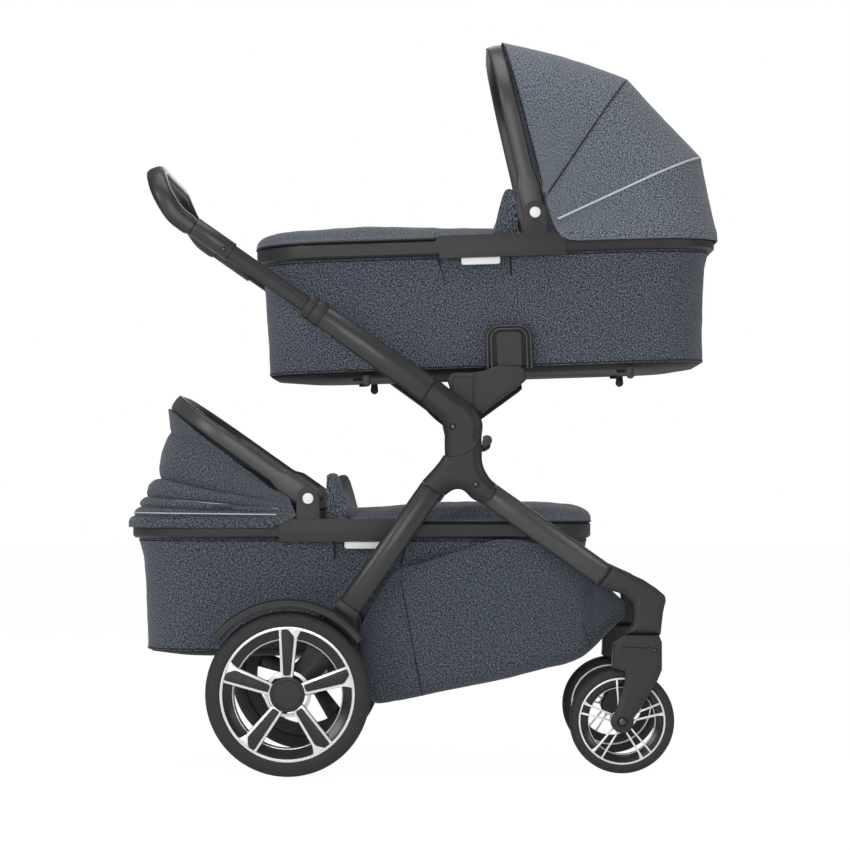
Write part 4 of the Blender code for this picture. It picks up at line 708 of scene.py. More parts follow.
# %% Fenders
def fender(tag, side):
    outside = [(0.147, 0.0226), (0.1545, 0.0227), (0.158, 0.0216), (0.1602, 0.0175), (0.1612, 0.009), (0.1615, 0)]
    inside = [(0.1585, 0), (0.158, 0.01), (0.157, 0.0165), (0.1545, 0.019), (0.147, 0.0197)]
    section = outside + [(r, -w) for r, w in reversed(outside[:-1])]
    section += [(r, -w) for r, w in reversed(inside)] + inside[1:]
    start = radians(36)
    piece = loop_of([(REAR_AXLE[0] + r * cos(start), side * (REAR_TRACK + w), REAR_AXLE[1] + r * sin(start))
                     for r, w in section])
    edit(spin(REAR_AXLE, 48, radians(107)), SELECT_ALL, MERGE, FILL, OUTWARD)
    rounded(piece, 0.0008, 2, 50)
    ridges = [flat_tube(arc(REAR_AXLE, radius, 37, 142, 48), side * (REAR_TRACK + w), 0.0009)
              for radius, w in ((0.1545, 0.0226), (0.148, 0.0224))]
    finished(smooth(joined([piece] + ridges), 40), f"dressed_fender_{tag}", black_plastic, "chassis", "black_plastic",
             f"rear_fender_{tag}")


for tag, side in SIDES:
    fender(tag, side)
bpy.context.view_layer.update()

# %% [markdown]
# The rigid pieces of the frame already have the right shape in the CAD model. A closer copy of each gets soft edges
# and a smooth surface, so that its corners catch the light as painted metal and moulded plastic do.

# %% Frame
def crown_faces(piece, inset, rise):
    """Insets the big outer side face of a casting and raises its middle, so that it is slightly domed."""
    far = max(abs(v.co.y) for v in piece.data.vertices)
    take(piece)
    bpy.ops.object.mode_set(mode="EDIT")
    bpy.ops.mesh.select_mode(type="FACE")
    bpy.ops.object.mode_set(mode="OBJECT")
    for face in piece.data.polygons:
        face.select = abs(face.normal.y) > 0.99 and face.area > 0.0006 and abs(face.center.y) > far - 0.003
    bpy.ops.object.mode_set(mode="EDIT")
    bpy.ops.mesh.inset(thickness=inset, depth=rise, use_even_offset=True)
    bpy.ops.object.mode_set(mode="OBJECT")


def dressed(name, finish, body, slot, edge, segments=2, crown=None):
    """A closer copy of a CAD node with rounded edges, and with a domed side where crown gives its inset and rise."""
    piece = closer(name)
    if crown:
        crown_faces(piece, *crown)
    smooth(rounded(piece, edge, segments))
    if crown:
        modify(piece, "WEIGHTED_NORMAL", keep_sharp=True)
    finished(piece, f"dressed_{name}", finish, body, slot, name)


for tag, side in SIDES:
    dressed(f"arm_tube_{tag}", frame_paint, "push_frame", "charcoal_frame", 0.0008)
    dressed(f"rear_leg_{tag}", frame_paint, "chassis", "charcoal_frame", 0.001)
    # The front legs' lighter paint is partly their own finish and partly a painted highlight.
    dressed(f"front_leg_{tag}", leg_paint_and_painted_highlight, "front_frame", "charcoal_frame", 0.001)
    dressed(f"front_housing_{tag}", case_plastic, "front_frame", "charcoal_plastic", 0.0024, 3, (0.007, 0.0022))
    dressed(f"caster_fork_{tag}", black_plastic, f"caster_{tag}", "charcoal_plastic", 0.0022, 3, (0.005, 0.0014))
    dressed(f"upper_adapter_{tag}", adapter_plastic, "push_frame", "charcoal_plastic", 0.0018, 3, (0.004, 0.0008))
    dressed(f"lower_adapter_{tag}", adapter_plastic, "chassis", "charcoal_plastic", 0.0018, 3)
    dressed(f"handle_tube_{tag}", frame_paint, "handle", "charcoal_frame", 0.001)
dressed("rear_axle", black_plastic, "chassis", "black_plastic", 0.001)
dressed("front_cross_tube", frame_paint, "front_frame", "charcoal_frame", 0.0008)
dressed("brake_pedal", black_plastic, "brake", "black_plastic", 0.0015, 3)

# %% [markdown]
# Small details make the frame read as a made thing: on each side the screws at the two pivots, the bolt through the
# fork, the screw of the handle's sleeve and the bolt in the crown of the fork.

# %% Screws and bolts
SCREW_HEAD = ((0, 0.0012), (0.35, 0.0011), (0.62, 0.0006), (0.66, -0.001), (0, -0.001))
SCREW_RING = ((0.72, 0.0003), (0.8, 0.0009), (1, 0.0007), (1.12, -0.0008), (0.7, -0.0008))


def screw(name, centre, y, side, radius, body):
    """A dark recess ring with a bright domed screw head in it. Both sections are in shares of the screw's radius."""
    for part, section, finish, slot in (("head", SCREW_HEAD, bolt_steel, "charcoal_plastic"),
                                        ("ring", SCREW_RING, seam_black, "black_plastic")):
        piece = spun([(radius * share, y + side * w) for share, w in section], centre, 32)
        finished(smooth(piece, 40), f"{name}_{part}", finish, body, slot)


for tag, side in SIDES:
    fork_face = abs(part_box(f"caster_fork_{tag}")[1 if side > 0 else 0].y)
    for name, centre, out, radius, body in (("fold_screw", FOLD_SCREW, 0.262, 0.0058, "push_frame"),
                                            ("leg_screw", LEG_SCREW, 0.262, 0.0056, "chassis"),
                                            ("fork_bolt", FRONT_AXLE, fork_face + 0.0024, 0.0085, f"caster_{tag}"),
                                            ("sleeve_screw", (-0.3377, 0.8963), 0.2584, 0.004, "handle"),
                                            ("crown_bolt", (0.397, 0.2122), 0.2278, 0.004, f"caster_{tag}")):
        screw(f"{name}_{tag}", centre, side * out, side, radius, body)
print("screws", sum("_head" in o.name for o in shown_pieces()))

# %% [markdown]
# Two castings meet at the fold hinge on each side. They look like bent tubes, so each is a plate whose faces fall away
# towards its outline over a centimetre and a half, while the edges along a seam stay crisp. The blade in front of each
# caster fork is made the same way.

# %% Joint castings
CASTING_INNER = FRAME_HALF - 0.017
CASTING_OUTER = FRAME_HALF + 0.017
CASTING_EDGE = 0.0165
CASTING_SHADE = 58
GRID_SHIFT = 0.0011
BLADE_INNER, BLADE_OUTER, LIP_FACE = 0.2216, 0.2276, 0.2278
LATCH_HALF = 0.009


def moulded(outline, crisp, near, far, edge, depth=0.0085, step=0.003):
    """A plate whose faces fall away towards the outline, as on a bent tube. The outline's runs named in crisp, as
    (start, end) numbers, are seams: there the face keeps its height. The plate is cut into a fine grid for this."""
    piece = take(slab(outline, near, far))
    bpy.ops.object.mode_set(mode="EDIT")
    for axis, (dx, dz) in enumerate(((1, 0), (0, 1))):
        low, high = min(p[axis] for p in outline), max(p[axis] for p in outline)
        for k in range(1, int((high - low) / step) + 1):
            at = low + k * step - GRID_SHIFT
            bpy.ops.mesh.select_all(action="SELECT")
            bpy.ops.mesh.bisect(plane_co=(at * dx, 0, at * dz), plane_no=(dx, 0, dz))
    bpy.ops.object.mode_set(mode="OBJECT")
    corners = [Vector(p) for p in outline]
    open_edges = [(a, b) for k, (a, b) in enumerate(zip(corners, corners[1:] + corners[:1]))
                  if not any(low <= k < high for low, high in crisp)]
    middle = (near + far) / 2
    for vertex in piece.data.vertices:
        here = Vector((vertex.co.x, vertex.co.z))
        away = edge
        for a, b in open_edges:
            run = b - a
            share = min(max((here - a).dot(run) / max(run.length_squared, 1e-12), 0.0), 1.0)
            away = min(away, (here - a - run * share).length)
        vertex.co.y += copysign(depth * (1 - away / edge) ** 2, middle - vertex.co.y)
    return piece


def arm_casting(tag, side):
    crown = [(0.02742, 0.67397)]
    crown += beside(FOLD_SCREW, [(0.0118, 0.0508), (0.0323, 0.0372), (0.0442, 0.0218), (0.05, 0.007)])
    throat = beside(FOLD_SCREW, [(-0.0139, -0.0485), (-0.0145, -0.027), (-0.0143, -0.0055), (-0.0165, 0.0048),
                                 (-0.0235, 0.014), (-0.0393, 0.0269)]) + [(-0.0001, 0.63464)]
    outline = line_through(crown, 24)
    start = len(outline)
    outline += arc(FOLD_SCREW, 0.0505, 8, -106, 40)
    end = len(outline) - 1
    outline += line_through(throat, 30)[1:] + [throat[-1]]
    crisp = [(start + 9, end), (len(outline) - 1, len(outline))]
    piece = moulded(outline, crisp, side * CASTING_INNER, side * CASTING_OUTER, CASTING_EDGE)
    finished(smooth(piece, CASTING_SHADE), f"arm_casting_{tag}_shell", casting_paint, "push_frame", "charcoal_frame",
             f"arm_casting_{tag}")


def joint_casting(tag, side):
    outline = arc(FOLD_SCREW, 0.0508, -108, -18, 36)
    seam_end = len(outline) - 1
    right = [outline[-1], (0.1028, 0.556), (0.103, 0.535), (0.1075, 0.5195), (0.117, 0.5045), (0.1266, 0.496)]
    outline += line_through(right, 20)[1:]
    leg_start = len(outline)
    outline += arc(LEG_SCREW, 0.034, 2, -72, 24)
    leg_end = len(outline) - 1
    rear = [(0.0348, 0.4761), (0.0004, 0.5001)]
    crotch = beside(LEG_SCREW, [(-0.006, -0.0245), (-0.019, -0.012), (-0.03, -0.0072), (-0.043, -0.0085)])
    outline += line_through([outline[-1]] + crotch + rear[:1], 24)[1:]
    rear_start = len(outline)
    left = rear[1:] + beside(LEG_SCREW, [(-0.0682, 0.0317), (-0.0575, 0.0462)])
    outline += rear + line_through(left, 8)[1:] + left[-1:]
    crisp = [(0, seam_end), (leg_start, leg_end), (rear_start, rear_start + 1), (len(outline) - 1, len(outline))]
    piece = moulded(outline, crisp, side * CASTING_INNER, side * CASTING_OUTER, CASTING_EDGE)
    high = (FOLD_SCREW[0] + 0.0144, FOLD_SCREW[1] - 0.062)
    ear_line = arc(FOLD_SCREW, 0.018, 0, 180, 16) + arc(high, 0.018, 180, 360, 16)
    ear = slab(ear_line, side * (CASTING_INNER - 0.0053), side * (CASTING_INNER - 0.0003), 0.0012)
    bridge_line = arc((high[0], high[1] - 0.004), 0.012, 0, 345, 23)
    bridge = slab(bridge_line, side * (CASTING_INNER - 0.0043), side * FRAME_HALF)
    seams = [flat_tube(line, side * CASTING_OUTER - side * 0.0002, 0.0006)
             for line in (arc(FOLD_SCREW, 0.05065, -101, -33, 30), arc(LEG_SCREW, 0.0341, -12, -60, 16))]
    finished(joined(seams), f"casting_seams_{tag}", seam_black, "chassis", "charcoal_frame")
    finished(smooth(joined([piece, ear, bridge]), CASTING_SHADE), f"joint_casting_{tag}_shell", casting_paint,
             "chassis", "charcoal_frame", f"joint_casting_{tag}")


BLADE_LEFT = [(0.3408, 0.2358), (0.3408, 0.2152), (0.345, 0.1946), (0.3484, 0.169), (0.3467, 0.1468), (0.339, 0.123),
              (0.3302, 0.106)]
BLADE_RIGHT = [(0.3602, 0.099), (0.375, 0.121), (0.3904, 0.1434), (0.4015, 0.1655), (0.4075, 0.1878), (0.4066, 0.2117),
               (0.4058, 0.2358)]
FORK_LIP = [(0.3425, 0.219), (0.35, 0.2172), (0.385, 0.216), (0.3905, 0.2195)]
blade_line = line_through(BLADE_LEFT, 36) + arc(FRONT_AXLE, 0.015, 190, 375, 22)
blade_line += line_through(BLADE_RIGHT, 36) + BLADE_RIGHT[-1:]
blade_top = [(len(blade_line) - 2, len(blade_line))]
knob_line = [(0.1033, 0.558), (0.109, 0.5582)] + arc((0.1112, 0.57), 0.009, -70, 150, 22)
knob_line += [(0.1048, 0.5722), (0.1033, 0.57)]
for tag, side in SIDES:
    blade = moulded(blade_line, blade_top, side * BLADE_INNER, side * BLADE_OUTER, 0.008, 0.0024, 0.0028)
    finished(smooth(blade, CASTING_SHADE), f"caster_blade_{tag}", case_plastic, f"caster_{tag}", "charcoal_plastic")
    lip = flat_tube(FORK_LIP, side * LIP_FACE, 0.0007)
    finished(lip, f"fork_lip_line_{tag}", seam_black, f"caster_{tag}", "charcoal_plastic")
    arm_casting(tag, side)
    joint_casting(tag, side)
    latch = slab(knob_line, side * (FRAME_HALF - LATCH_HALF), side * (FRAME_HALF + LATCH_HALF), 0.0024, 4)
    finished(smooth(latch, 40), f"fold_latch_{tag}_knob", black_plastic, f"fold_latch_{tag}", "black_plastic",
             f"fold_latch_{tag}")
print("joint castings done")

# %% [markdown]
# The handle is a padded loop with a broad oval section. It climbs from both sleeves, rounds the corners and runs
# across, and a line of stitching follows its inner face. Two oval bands sit round each arm where its tube starts.

# %% Handle
HANDLE_LINE = [(-0.3908, 0.9345), (-0.403, 0.9425), (-0.422, 0.958), (-0.4385, 0.9825), (-0.45, 1.006), (-0.459, 1.033)]
HANDLE_BEND = 0.062
CLIMB_STEPS, CROSS_STEPS = 40, 20
SLEEVE_HALF_WIDE, GRIP_SWELL = 0.0135, 0.0037
GRIP_HALF_WIDE, GRIP_HALF_THICK = 0.0172, 0.0128
ARM_RISE = Vector((-0.8192, 0, 0.5736))
BAND_TALL = 0.0435
BAND_THICK = 0.0268


def handle_loop():
    side = [Vector((x, 0, z)) for x, z in line_through(HANDLE_LINE, CLIMB_STEPS) + [point_through(HANDLE_LINE, 1)]]
    run = lengths(side)
    places, wides = [], []
    for k, here in enumerate(side):
        along = (side[min(k + 1, CLIMB_STEPS)] - side[max(k - 1, 0)]).normalized()
        left = max(run[-1] - run[k], 0.0)
        bent = asin(min(max(1 - left / HANDLE_BEND, 0.0), 1.0))
        places.append(Vector((here.x, -FRAME_HALF + HANDLE_BEND * (1 - cos(bent)), here.z)))
        wides.append(Vector((along.z, 0, -along.x)))
    corner = places[-1]
    places += [Vector((corner.x, corner.y * (1 - k / CROSS_STEPS), corner.z))
               for k in range(1, CROSS_STEPS + 1)]
    wides += [wides[-1]] * CROSS_STEPS
    places += [Vector((p.x, -p.y, p.z)) for p in reversed(places[:-1])]
    wides += list(reversed(wides[:-1]))
    last = len(places) - 1
    rows = []
    for k, (place, wide) in enumerate(zip(places, wides)):
        along = (places[min(k + 1, last)] - places[max(k - 1, 0)]).normalized()
        thick = along.cross(wide).normalized()
        half_wide = GRIP_HALF_WIDE if 6 < k < last - 6 else SLEEVE_HALF_WIDE + GRIP_SWELL * min(k, last - k) / 6
        rows.append([place + wide * (half_wide * c) + thick * (GRIP_HALF_THICK * s) for c, s in ovals(28, 0.75, 0.8)])
    loop = sheet_of(rows, True, (FILL, OUTWARD))
    ruffle(loop, 0.0004, 0.03, 31)
    finished(smooth(loop, 50), "padded_handle", grip_leather, "handle", "grip_leatherette", "handlebar")
    stitches = [tube([row[j] for row in rows[3:-3]], 0.0007) for j in (3, 17)]
    finished(joined(stitches), "handle_stitching", seam_black, "handle", "grip_leatherette")


def oval_band(place, length):
    """A short oval sleeve round an arm, with rounded ends."""
    across = Vector((ARM_RISE.z, 0, -ARM_RISE.x))
    rows = []
    for at, less in ((0, 0.003), (0, 0.0004), (0.0008, 0), (length - 0.0008, 0), (length, 0.0004), (length, 0.003)):
        centre = Vector(place) + ARM_RISE * at
        rows.append([centre + across * ((BAND_TALL / 2 - less) * c) + Vector((0, (BAND_THICK / 2 - less) * s, 0))
                     for c, s in ovals(48, 0.8, 1)])
    return smooth(sheet_of(rows, True), 40)


handle_loop()
for tag, side in SIDES:
    collar = Vector((-0.1955, side * FRAME_HALF, 0.8008)) - ARM_RISE * 0.033
    bands = [oval_band(collar, 0.019), oval_band(collar + ARM_RISE * 0.0206, 0.014)]
    finished(joined(bands), f"arm_collar_{tag}", case_plastic, "push_frame", "charcoal_plastic")
print("handle done")

# %% [markdown]
# Each carrycot has a moulded rail with a casing on each side, a tray with two sockets, white release handles and a
# white button in each hood hinge. Their shapes come from the CAD model, with rounded edges. Raised arches and the face
# of the adapter's tongue are added to each socket, lines to the adapters, and pegs under the upper tray.

# %% Hard parts of the cots
SOCKET_MIDDLE = 0.035
SOCKET_FACE = 0.2088
ADAPTER_FACE = 0.2281


def socket_arch(half, top, bend, foot):
    """The outline of an arch over a socket, in the cot's own x and z."""
    right, left = SOCKET_MIDDLE + half, SOCKET_MIDDLE - half
    line = [(right, foot)] + arc((right - bend, top - bend), bend, 0, 90, 8)
    return line + arc((left + bend, top - bend), bend, 90, 180, 8) + [(left, foot)]


for cot in COTS:
    dressed(f"{cot}_cot_rim", case_plastic, f"{cot}_cot", "charcoal_plastic", 0.0022, 3)
    dressed(f"{cot}_cot_base", band_plastic, f"{cot}_cot", "black_plastic", 0.0012)
    for tag, side in SIDES:
        dressed(f"{cot}_cot_release_{tag}", white_plastic, f"{cot}_release_{tag}", "white_plastic", 0.0012, 3)
        dressed(f"{cot}_cot_hood_button_{tag}", white_plastic, f"{cot}_hood_button_{tag}", "white_plastic", 0.0012, 3)
for cot, place in COTS.items():
    lines, plates = [], []
    for side in (-1, 1):
        for line in (socket_arch(0.0375, -0.1385, 0.021, -0.212), socket_arch(0.0305, -0.144, 0.016, -0.212)):
            lines.append(tube([place(x, side * (SOCKET_FACE + 0.0004), z) for x, z in line], 0.0015))
    # The ridges take the lighter leg paint rather than the dark socket plastic: a painted highlight along their edges.
    finished(smooth(joined(lines), 50), f"{cot}_socket_ridges_painted_highlight", leg_paint_and_painted_highlight, f"{cot}_cot", "black_plastic")
    tongue = [place(x, 0, z)[::2] for x, z in socket_arch(0.0215, -0.1495, 0.01, -0.2085)]
    for side in (-1, 1):
        plates.append(slab(tongue, side * (SOCKET_FACE - 0.001), side * (SOCKET_FACE + 0.002), 0.0008))
    finished(smooth(joined(plates), 20), f"{cot}_tongue_panels", case_plastic, f"{cot}_cot", "black_plastic")
for tag, side in SIDES:
    panel = [(0.053, 0.656)] + arc((0.056, 0.675), 0.004, 180, 90, 6) + arc((0.083, 0.675), 0.004, 90, 0, 6)
    lines = (panel + [(0.087, 0.63)], [(0.0905, 0.685), (0.0905, 0.628)])
    finished(joined([flat_tube(line, side * ADAPTER_FACE, 0.0007) for line in lines]), f"adapter_lines_{tag}",
             seam_black, "push_frame", "charcoal_plastic")
pegs = []
for tag, side in SIDES:
    for x, low, high in ((0.3588, 0.6775, 0.698), (-0.0958, 0.664, 0.684)):
        line = arc((x, low + 0.007), 0.007, 180, 360, 14) + [(x + 0.0055, high), (x - 0.0055, high)]
        pegs.append(slab(line, side * 0.199, side * 0.185, 0.0014))
finished(smooth(joined(pegs), 40), "upper_base_pegs", black_plastic, "upper_cot", "black_plastic")
print("cot plastics done")

# %% [markdown]
# A hood hangs from a bow: a flat, rounded strip bent into a U. It is a section swept along its path, wider at its feet,
# with a round boss at each hinge.

# %% Hood bows
BOW = {"upper": (-11.2, 0.31), "lower": (54.7, 0.292)}
BOW_SPAN = 0.198
BOW_BEND = 0.12
BOW_FOOT_HALF = 0.0205
BOW_HALF = 0.014
BOW_HALF_THICK = 0.0054
BOSS_HALF = 0.0048


def leaning(angle):
    """The up and forward directions, in x and z, of something that leans towards the hood end."""
    s, c = sin(radians(angle)), cos(radians(angle))
    return (s, c), (c, -s)


def bow(cot):
    place = COTS[cot]
    angle, reach = BOW[cot]
    up, forward = leaning(angle)
    straight = reach - BOW_BEND
    path = [(-BOW_SPAN, 0.004 + (straight - 0.004) * k / 24, 0) for k in range(25)]
    for k in range(1, 17):
        turn = radians(90 * k / 16)
        path.append((-BOW_SPAN + BOW_BEND * (1 - cos(turn)), straight + BOW_BEND * sin(turn), turn))
    path += [(-y, r, pi - t) for y, r, t in reversed(path[:-1])]
    rows = []
    for y, r, turn in path:
        ease = min(max((r - 0.05) / 0.022, 0.0), 1.0)
        half = BOW_FOOT_HALF + (BOW_HALF - BOW_FOOT_HALF) * ease * ease * (3 - 2 * ease)
        row = []
        for c, s in ovals(24, 0.7, 0.9):
            wide, thick = half * c, BOW_HALF_THICK * s
            rr, yy = r + sin(turn) * thick, y - cos(turn) * thick
            row.append(place(HOOD_PIVOT[0] + up[0] * rr + forward[0] * wide, yy,
                             HOOD_PIVOT[1] + up[1] * rr + forward[1] * wide))
        rows.append(row)
    pieces = [sheet_of(rows, True, (MERGE, FILL, OUTWARD))]
    pivot = place(HOOD_PIVOT[0], 0, HOOD_PIVOT[1])[::2]
    for side in (-1, 1):
        inner, outer = side * (BOW_SPAN - BOSS_HALF), side * (BOW_SPAN + BOSS_HALF)
        pieces.append(spun([(0, inner), (0.0195, inner), (0.0205, inner + side * 0.001), (0.0205, outer - side * 0.001),
                            (0.0195, outer), (0, outer)], pivot, 48))
    # The bow's lighter plastic is a painted highlight.
    finished(smooth(joined(pieces), 40), f"{cot}_bow", bow_plastic_painted_highlight, f"{cot}_hood_bow", "charcoal_plastic",
             f"{cot}_cot_hood_bow")
    trim = [tube([Vector(row[k]).lerp(Vector(row[(k + 12) % 24]), -0.004) for row in rows[26:-26]], 0.0009)
            for k in (2, 10)]
    finished(joined(trim), f"{cot}_bow_seam", seam_black, f"{cot}_hood_bow", "charcoal_plastic")


for cot in COTS:
    bow(cot)
print("bows done")

# %% [markdown]
# The cot's body is cloth pulled tight over a tub. Its plan is a rectangle with big round corners, drawn in towards the
# bottom, with a shallow recess for the hand under each release. A little soft noise keeps the tight cloth from looking
# like a moulding, and a second layer is the pale lining.

# %% Cot bodies
CORNER_STEPS, LONG_STEPS, END_STEPS = 14, 30, 10
BODY_TOP, BODY_DEPTH, BODY_ROWS = -0.0148, 0.1935, 30
RECESS_DEPTH = 0.0045


def cot_ring(inset, z):
    """The cot's plan at one height and inset: four round corners and the straight runs between them, in small steps.
    The foot end stands in a little less than the sides, and the hood end a little more."""
    half_width, radius = COT_SIDE - inset, COT_CORNER - inset
    centres = {1: COT_HALF - 1.3 * inset - radius, -1: 0.8 * inset + radius - COT_HALF}
    corners = []
    for quarter, (sx, sy) in enumerate(((1, 1), (-1, 1), (-1, -1), (1, -1))):
        turns = [radians(90 * quarter + 90 * k / CORNER_STEPS) for k in range(CORNER_STEPS + 1)]
        corners.append([(centres[sx] + radius * cos(turn), sy * (half_width - radius) + radius * sin(turn))
                        for turn in turns])
    ring = []
    for quarter, run in enumerate(corners):
        (x, y), goal = run[-1], corners[(quarter + 1) % 4][0]
        steps = LONG_STEPS if quarter % 2 == 0 else END_STEPS
        ring += run + [(x + (goal[0] - x) * k / steps, y + (goal[1] - y) * k / steps) for k in range(1, steps)]
    return [(x, y, z) for x, y in ring]


def tub_inset(z):
    """How far the cloth stands in from the rail at a height, on a smooth curve."""
    share = (-z - 0.0146) / 0.1937
    return curve_through([0.0088, 0.0148, 0.0172, 0.0186, 0.0198, 0.0206, 0.0212], min(max(share, 0.0), 1.0))


def hand_recess(body, place):
    """Presses the cloth in by a few millimetres under the release handles."""
    origin = Vector(place(0, 0, 0))
    forward, upward = Vector(place(1, 0, 0)) - origin, Vector(place(0, 0, 1)) - origin
    for vertex in body.data.vertices:
        x, z = (vertex.co - origin).dot(forward), (vertex.co - origin).dot(upward)
        if abs(vertex.co.y) > 0.15 and z > -0.07:
            left, right = -0.083 - (z + 0.0163) * 0.26, 0.043
            inside = min((x - left) / 0.004, (right - x) / 0.004, (z + 0.066) / 0.02, 1.0)
            if inside > 0:
                vertex.co.y -= copysign(RECESS_DEPTH * inside, vertex.co.y)


def cot_body(cot):
    place = COTS[cot]
    heights = [BODY_TOP - BODY_DEPTH * k / BODY_ROWS for k in range(BODY_ROWS + 1)]
    rings = [cot_ring(tub_inset(z), z) for z in heights]
    for extra in (0.0016, 0.012, 0.05, 0.1):
        rings.append(cot_ring(tub_inset(heights[-1]) + extra, heights[-1] - 0.0001))
    body = sheet_of([[place(*point) for point in ring] for ring in rings], True)
    low, high = place(0, 0, -0.2075)[2] + 0.012, place(0, 0, -0.016)[2] - 0.02
    ruffle(body, 0.0011, 0.05, 3, (0.55, 1, 1.25), lambda p: 1.0 if low < p.z < high else 0.25)
    ruffle(body, 0.0005, 0.016, 5, (0.7, 1, 1), lambda p: 1.0 if low < p.z < high else 0.2)
    hand_recess(body, place)
    modify(body, "SOLIDIFY", thickness=0.004, offset=-1, use_even_offset=False, material_offset=1)
    finished(smooth(body, 60), f"{cot}_cot_body_cloth", (cot_cloth, lining_cloth), f"{cot}_cot", "slate_fabric",
             f"{cot}_cot_tub")
    hem = [tube([place(*p) for p in cot_ring(tub_inset(z) - proud, z)], 0.0009, True)
           for z, proud in ((-0.2055, 0.0004), (-0.0185, 0.0006))]
    # The dark lines down each side, at both ends of the hand recess, are painted shade in the tucked slits of the
    # cloth.
    for side in (-1, 1):
        for (x0, z0), (x1, z1) in (((-0.0722, -0.058), (-0.0828, -0.017)), ((0.0425, -0.05), (0.0425, -0.017))):
            slit = [(x0 + (x1 - x0) * k / 8, z0 + (z1 - z0) * k / 8) for k in range(9)]
            hem.append(tube([place(x, side * (COT_SIDE - tub_inset(z) - 0.001), z) for x, z in slit], 0.0015))
    finished(smooth(joined(hem), 60), f"{cot}_cot_body_hems_and_slit_shade", seam_black, f"{cot}_cot", "slate_fabric")


for cot in COTS:
    cot_body(cot)
print("cot bodies done")

# %% [markdown]
# Inside lies a pad with a crowned top and rounded sides. It is nearly hidden, but it shows from above.

# %% Mattresses
PAD_SHAPE = [(0.06, 0), (0.036, 0.0003), (0.0305, 0.006), (0.029, 0.014), (0.03, 0.024), (0.035, 0.031),
             (0.048, 0.0342), (0.075, 0.0349), (0.11, 0.035)]
PAD_FLOOR = -0.203
for cot, place in COTS.items():
    rows = [[place(*point) for point in cot_ring(inset, PAD_FLOOR + h)] for inset, h in PAD_SHAPE]
    pad = smooth(sheet_of(rows, True, (FILL, OUTWARD)), 60)
    finished(pad, f"{cot}_cot_pad", lining_cloth, f"{cot}_cot", "lining_fabric", f"{cot}_cot_mattress")
print("pads done")

# %% [markdown]
# The foot cover is a soft lid that is tucked round the rail. It has a crown, it is drawn down at the foot end, and a
# wind flap stands up at its front edge, higher at the two sides. A station holds a place along the cot, the cover's
# half width and its share of the full rise.

# %% Foot covers
COVER_STATIONS = [(-0.4, 0.055, 0.05), (-0.3975, 0.11, 0.48), (-0.378, 0.16, 0.82), (-0.342, 0.192, 0.95),
                  (-0.29, 0.2085, 0.99), (-0.22, 0.2105, 1.02), (-0.15, 0.2105, 0.99), (-0.092, 0.21, 0.9),
                  (-0.085, 0.2035, 0.88), (-0.03, 0.2025, 0.74), (0.02, 0.2025, 0.66), (0.058, 0.2025, 0.6)]
COVER_SEAT = 0.0142
COVER_RISE = 0.03
COVER_ROWS, COVER_COLUMNS = 70, 48
FLAP_COLUMNS = 40
FLAP_HALF, FLAP_LOW, FLAP_HIGH = 0.1975, 0.052, 0.099


def crown(share):
    """The cover's height across its width, from 1 in the middle to 0 at the edge."""
    return curve_through([1, 0.99, 0.97, 0.93, 0.86, 0.66, 0], min(abs(share), 1.0))


def cover_row(place, x, w, rise):
    row = []
    for j in range(COVER_COLUMNS + 1):
        f = sin(pi / 2 * (2 * j / COVER_COLUMNS - 1))
        z = COVER_SEAT + 0.0005 + COVER_RISE * crown(f) * rise
        soft = crinkle((x, f * w * 0.6, 0), 0.07, 4) * 0.0022 + crinkle((x, f * w, 0), 0.026, 9) * 0.0007
        z += soft * min(crown(f) * 1.4, 1.0) * min(rise, 1.0)
        row.append(place(x, f * w, z))
    return row


def cover(cot):
    place, body = COTS[cot], f"{cot}_cot"
    rows = [cover_row(place, *point_through(COVER_STATIONS, k / COVER_ROWS)) for k in range(COVER_ROWS + 1)]
    sheet = sheet_of(rows)
    if sum(p.normal.z for p in sheet.data.polygons) < 0:
        edit(FLIP)
    modify(sheet, "SOLIDIFY", thickness=0.0035, offset=1, material_offset=1)
    finished(smooth(sheet, 60), f"{cot}_foot_cover", (cover_cloth, lining_cloth), body, "slate_fabric",
             f"{cot}_cot_cover")
    edge = [row[0] for row in reversed(rows)] + rows[0] + [row[-1] for row in rows]
    lift = Vector(place(0, 0, 0.0016)) - Vector(place(0, 0, 0))
    hem = tube([Vector(p) + lift for p in edge], 0.003, resolution=3)
    finished(smooth(hem, 60), f"{cot}_foot_cover_hem", cover_cloth, body, "slate_fabric")
    # The dark line just below the cover's hem, and out from it, is painted shadow in the gap between the cover and the
    # rail.
    middle = Vector(place(-0.18, 0, COVER_SEAT))
    low = [Vector(p) + Vector((p[0] - middle.x, p[1] * 1.2, 0)) * 0.012 - lift * 0.35 for p in edge]
    finished(tube(low, 0.0013), f"{cot}_foot_cover_painted_shadow", seam_black, body, "slate_fabric")
    return sheet


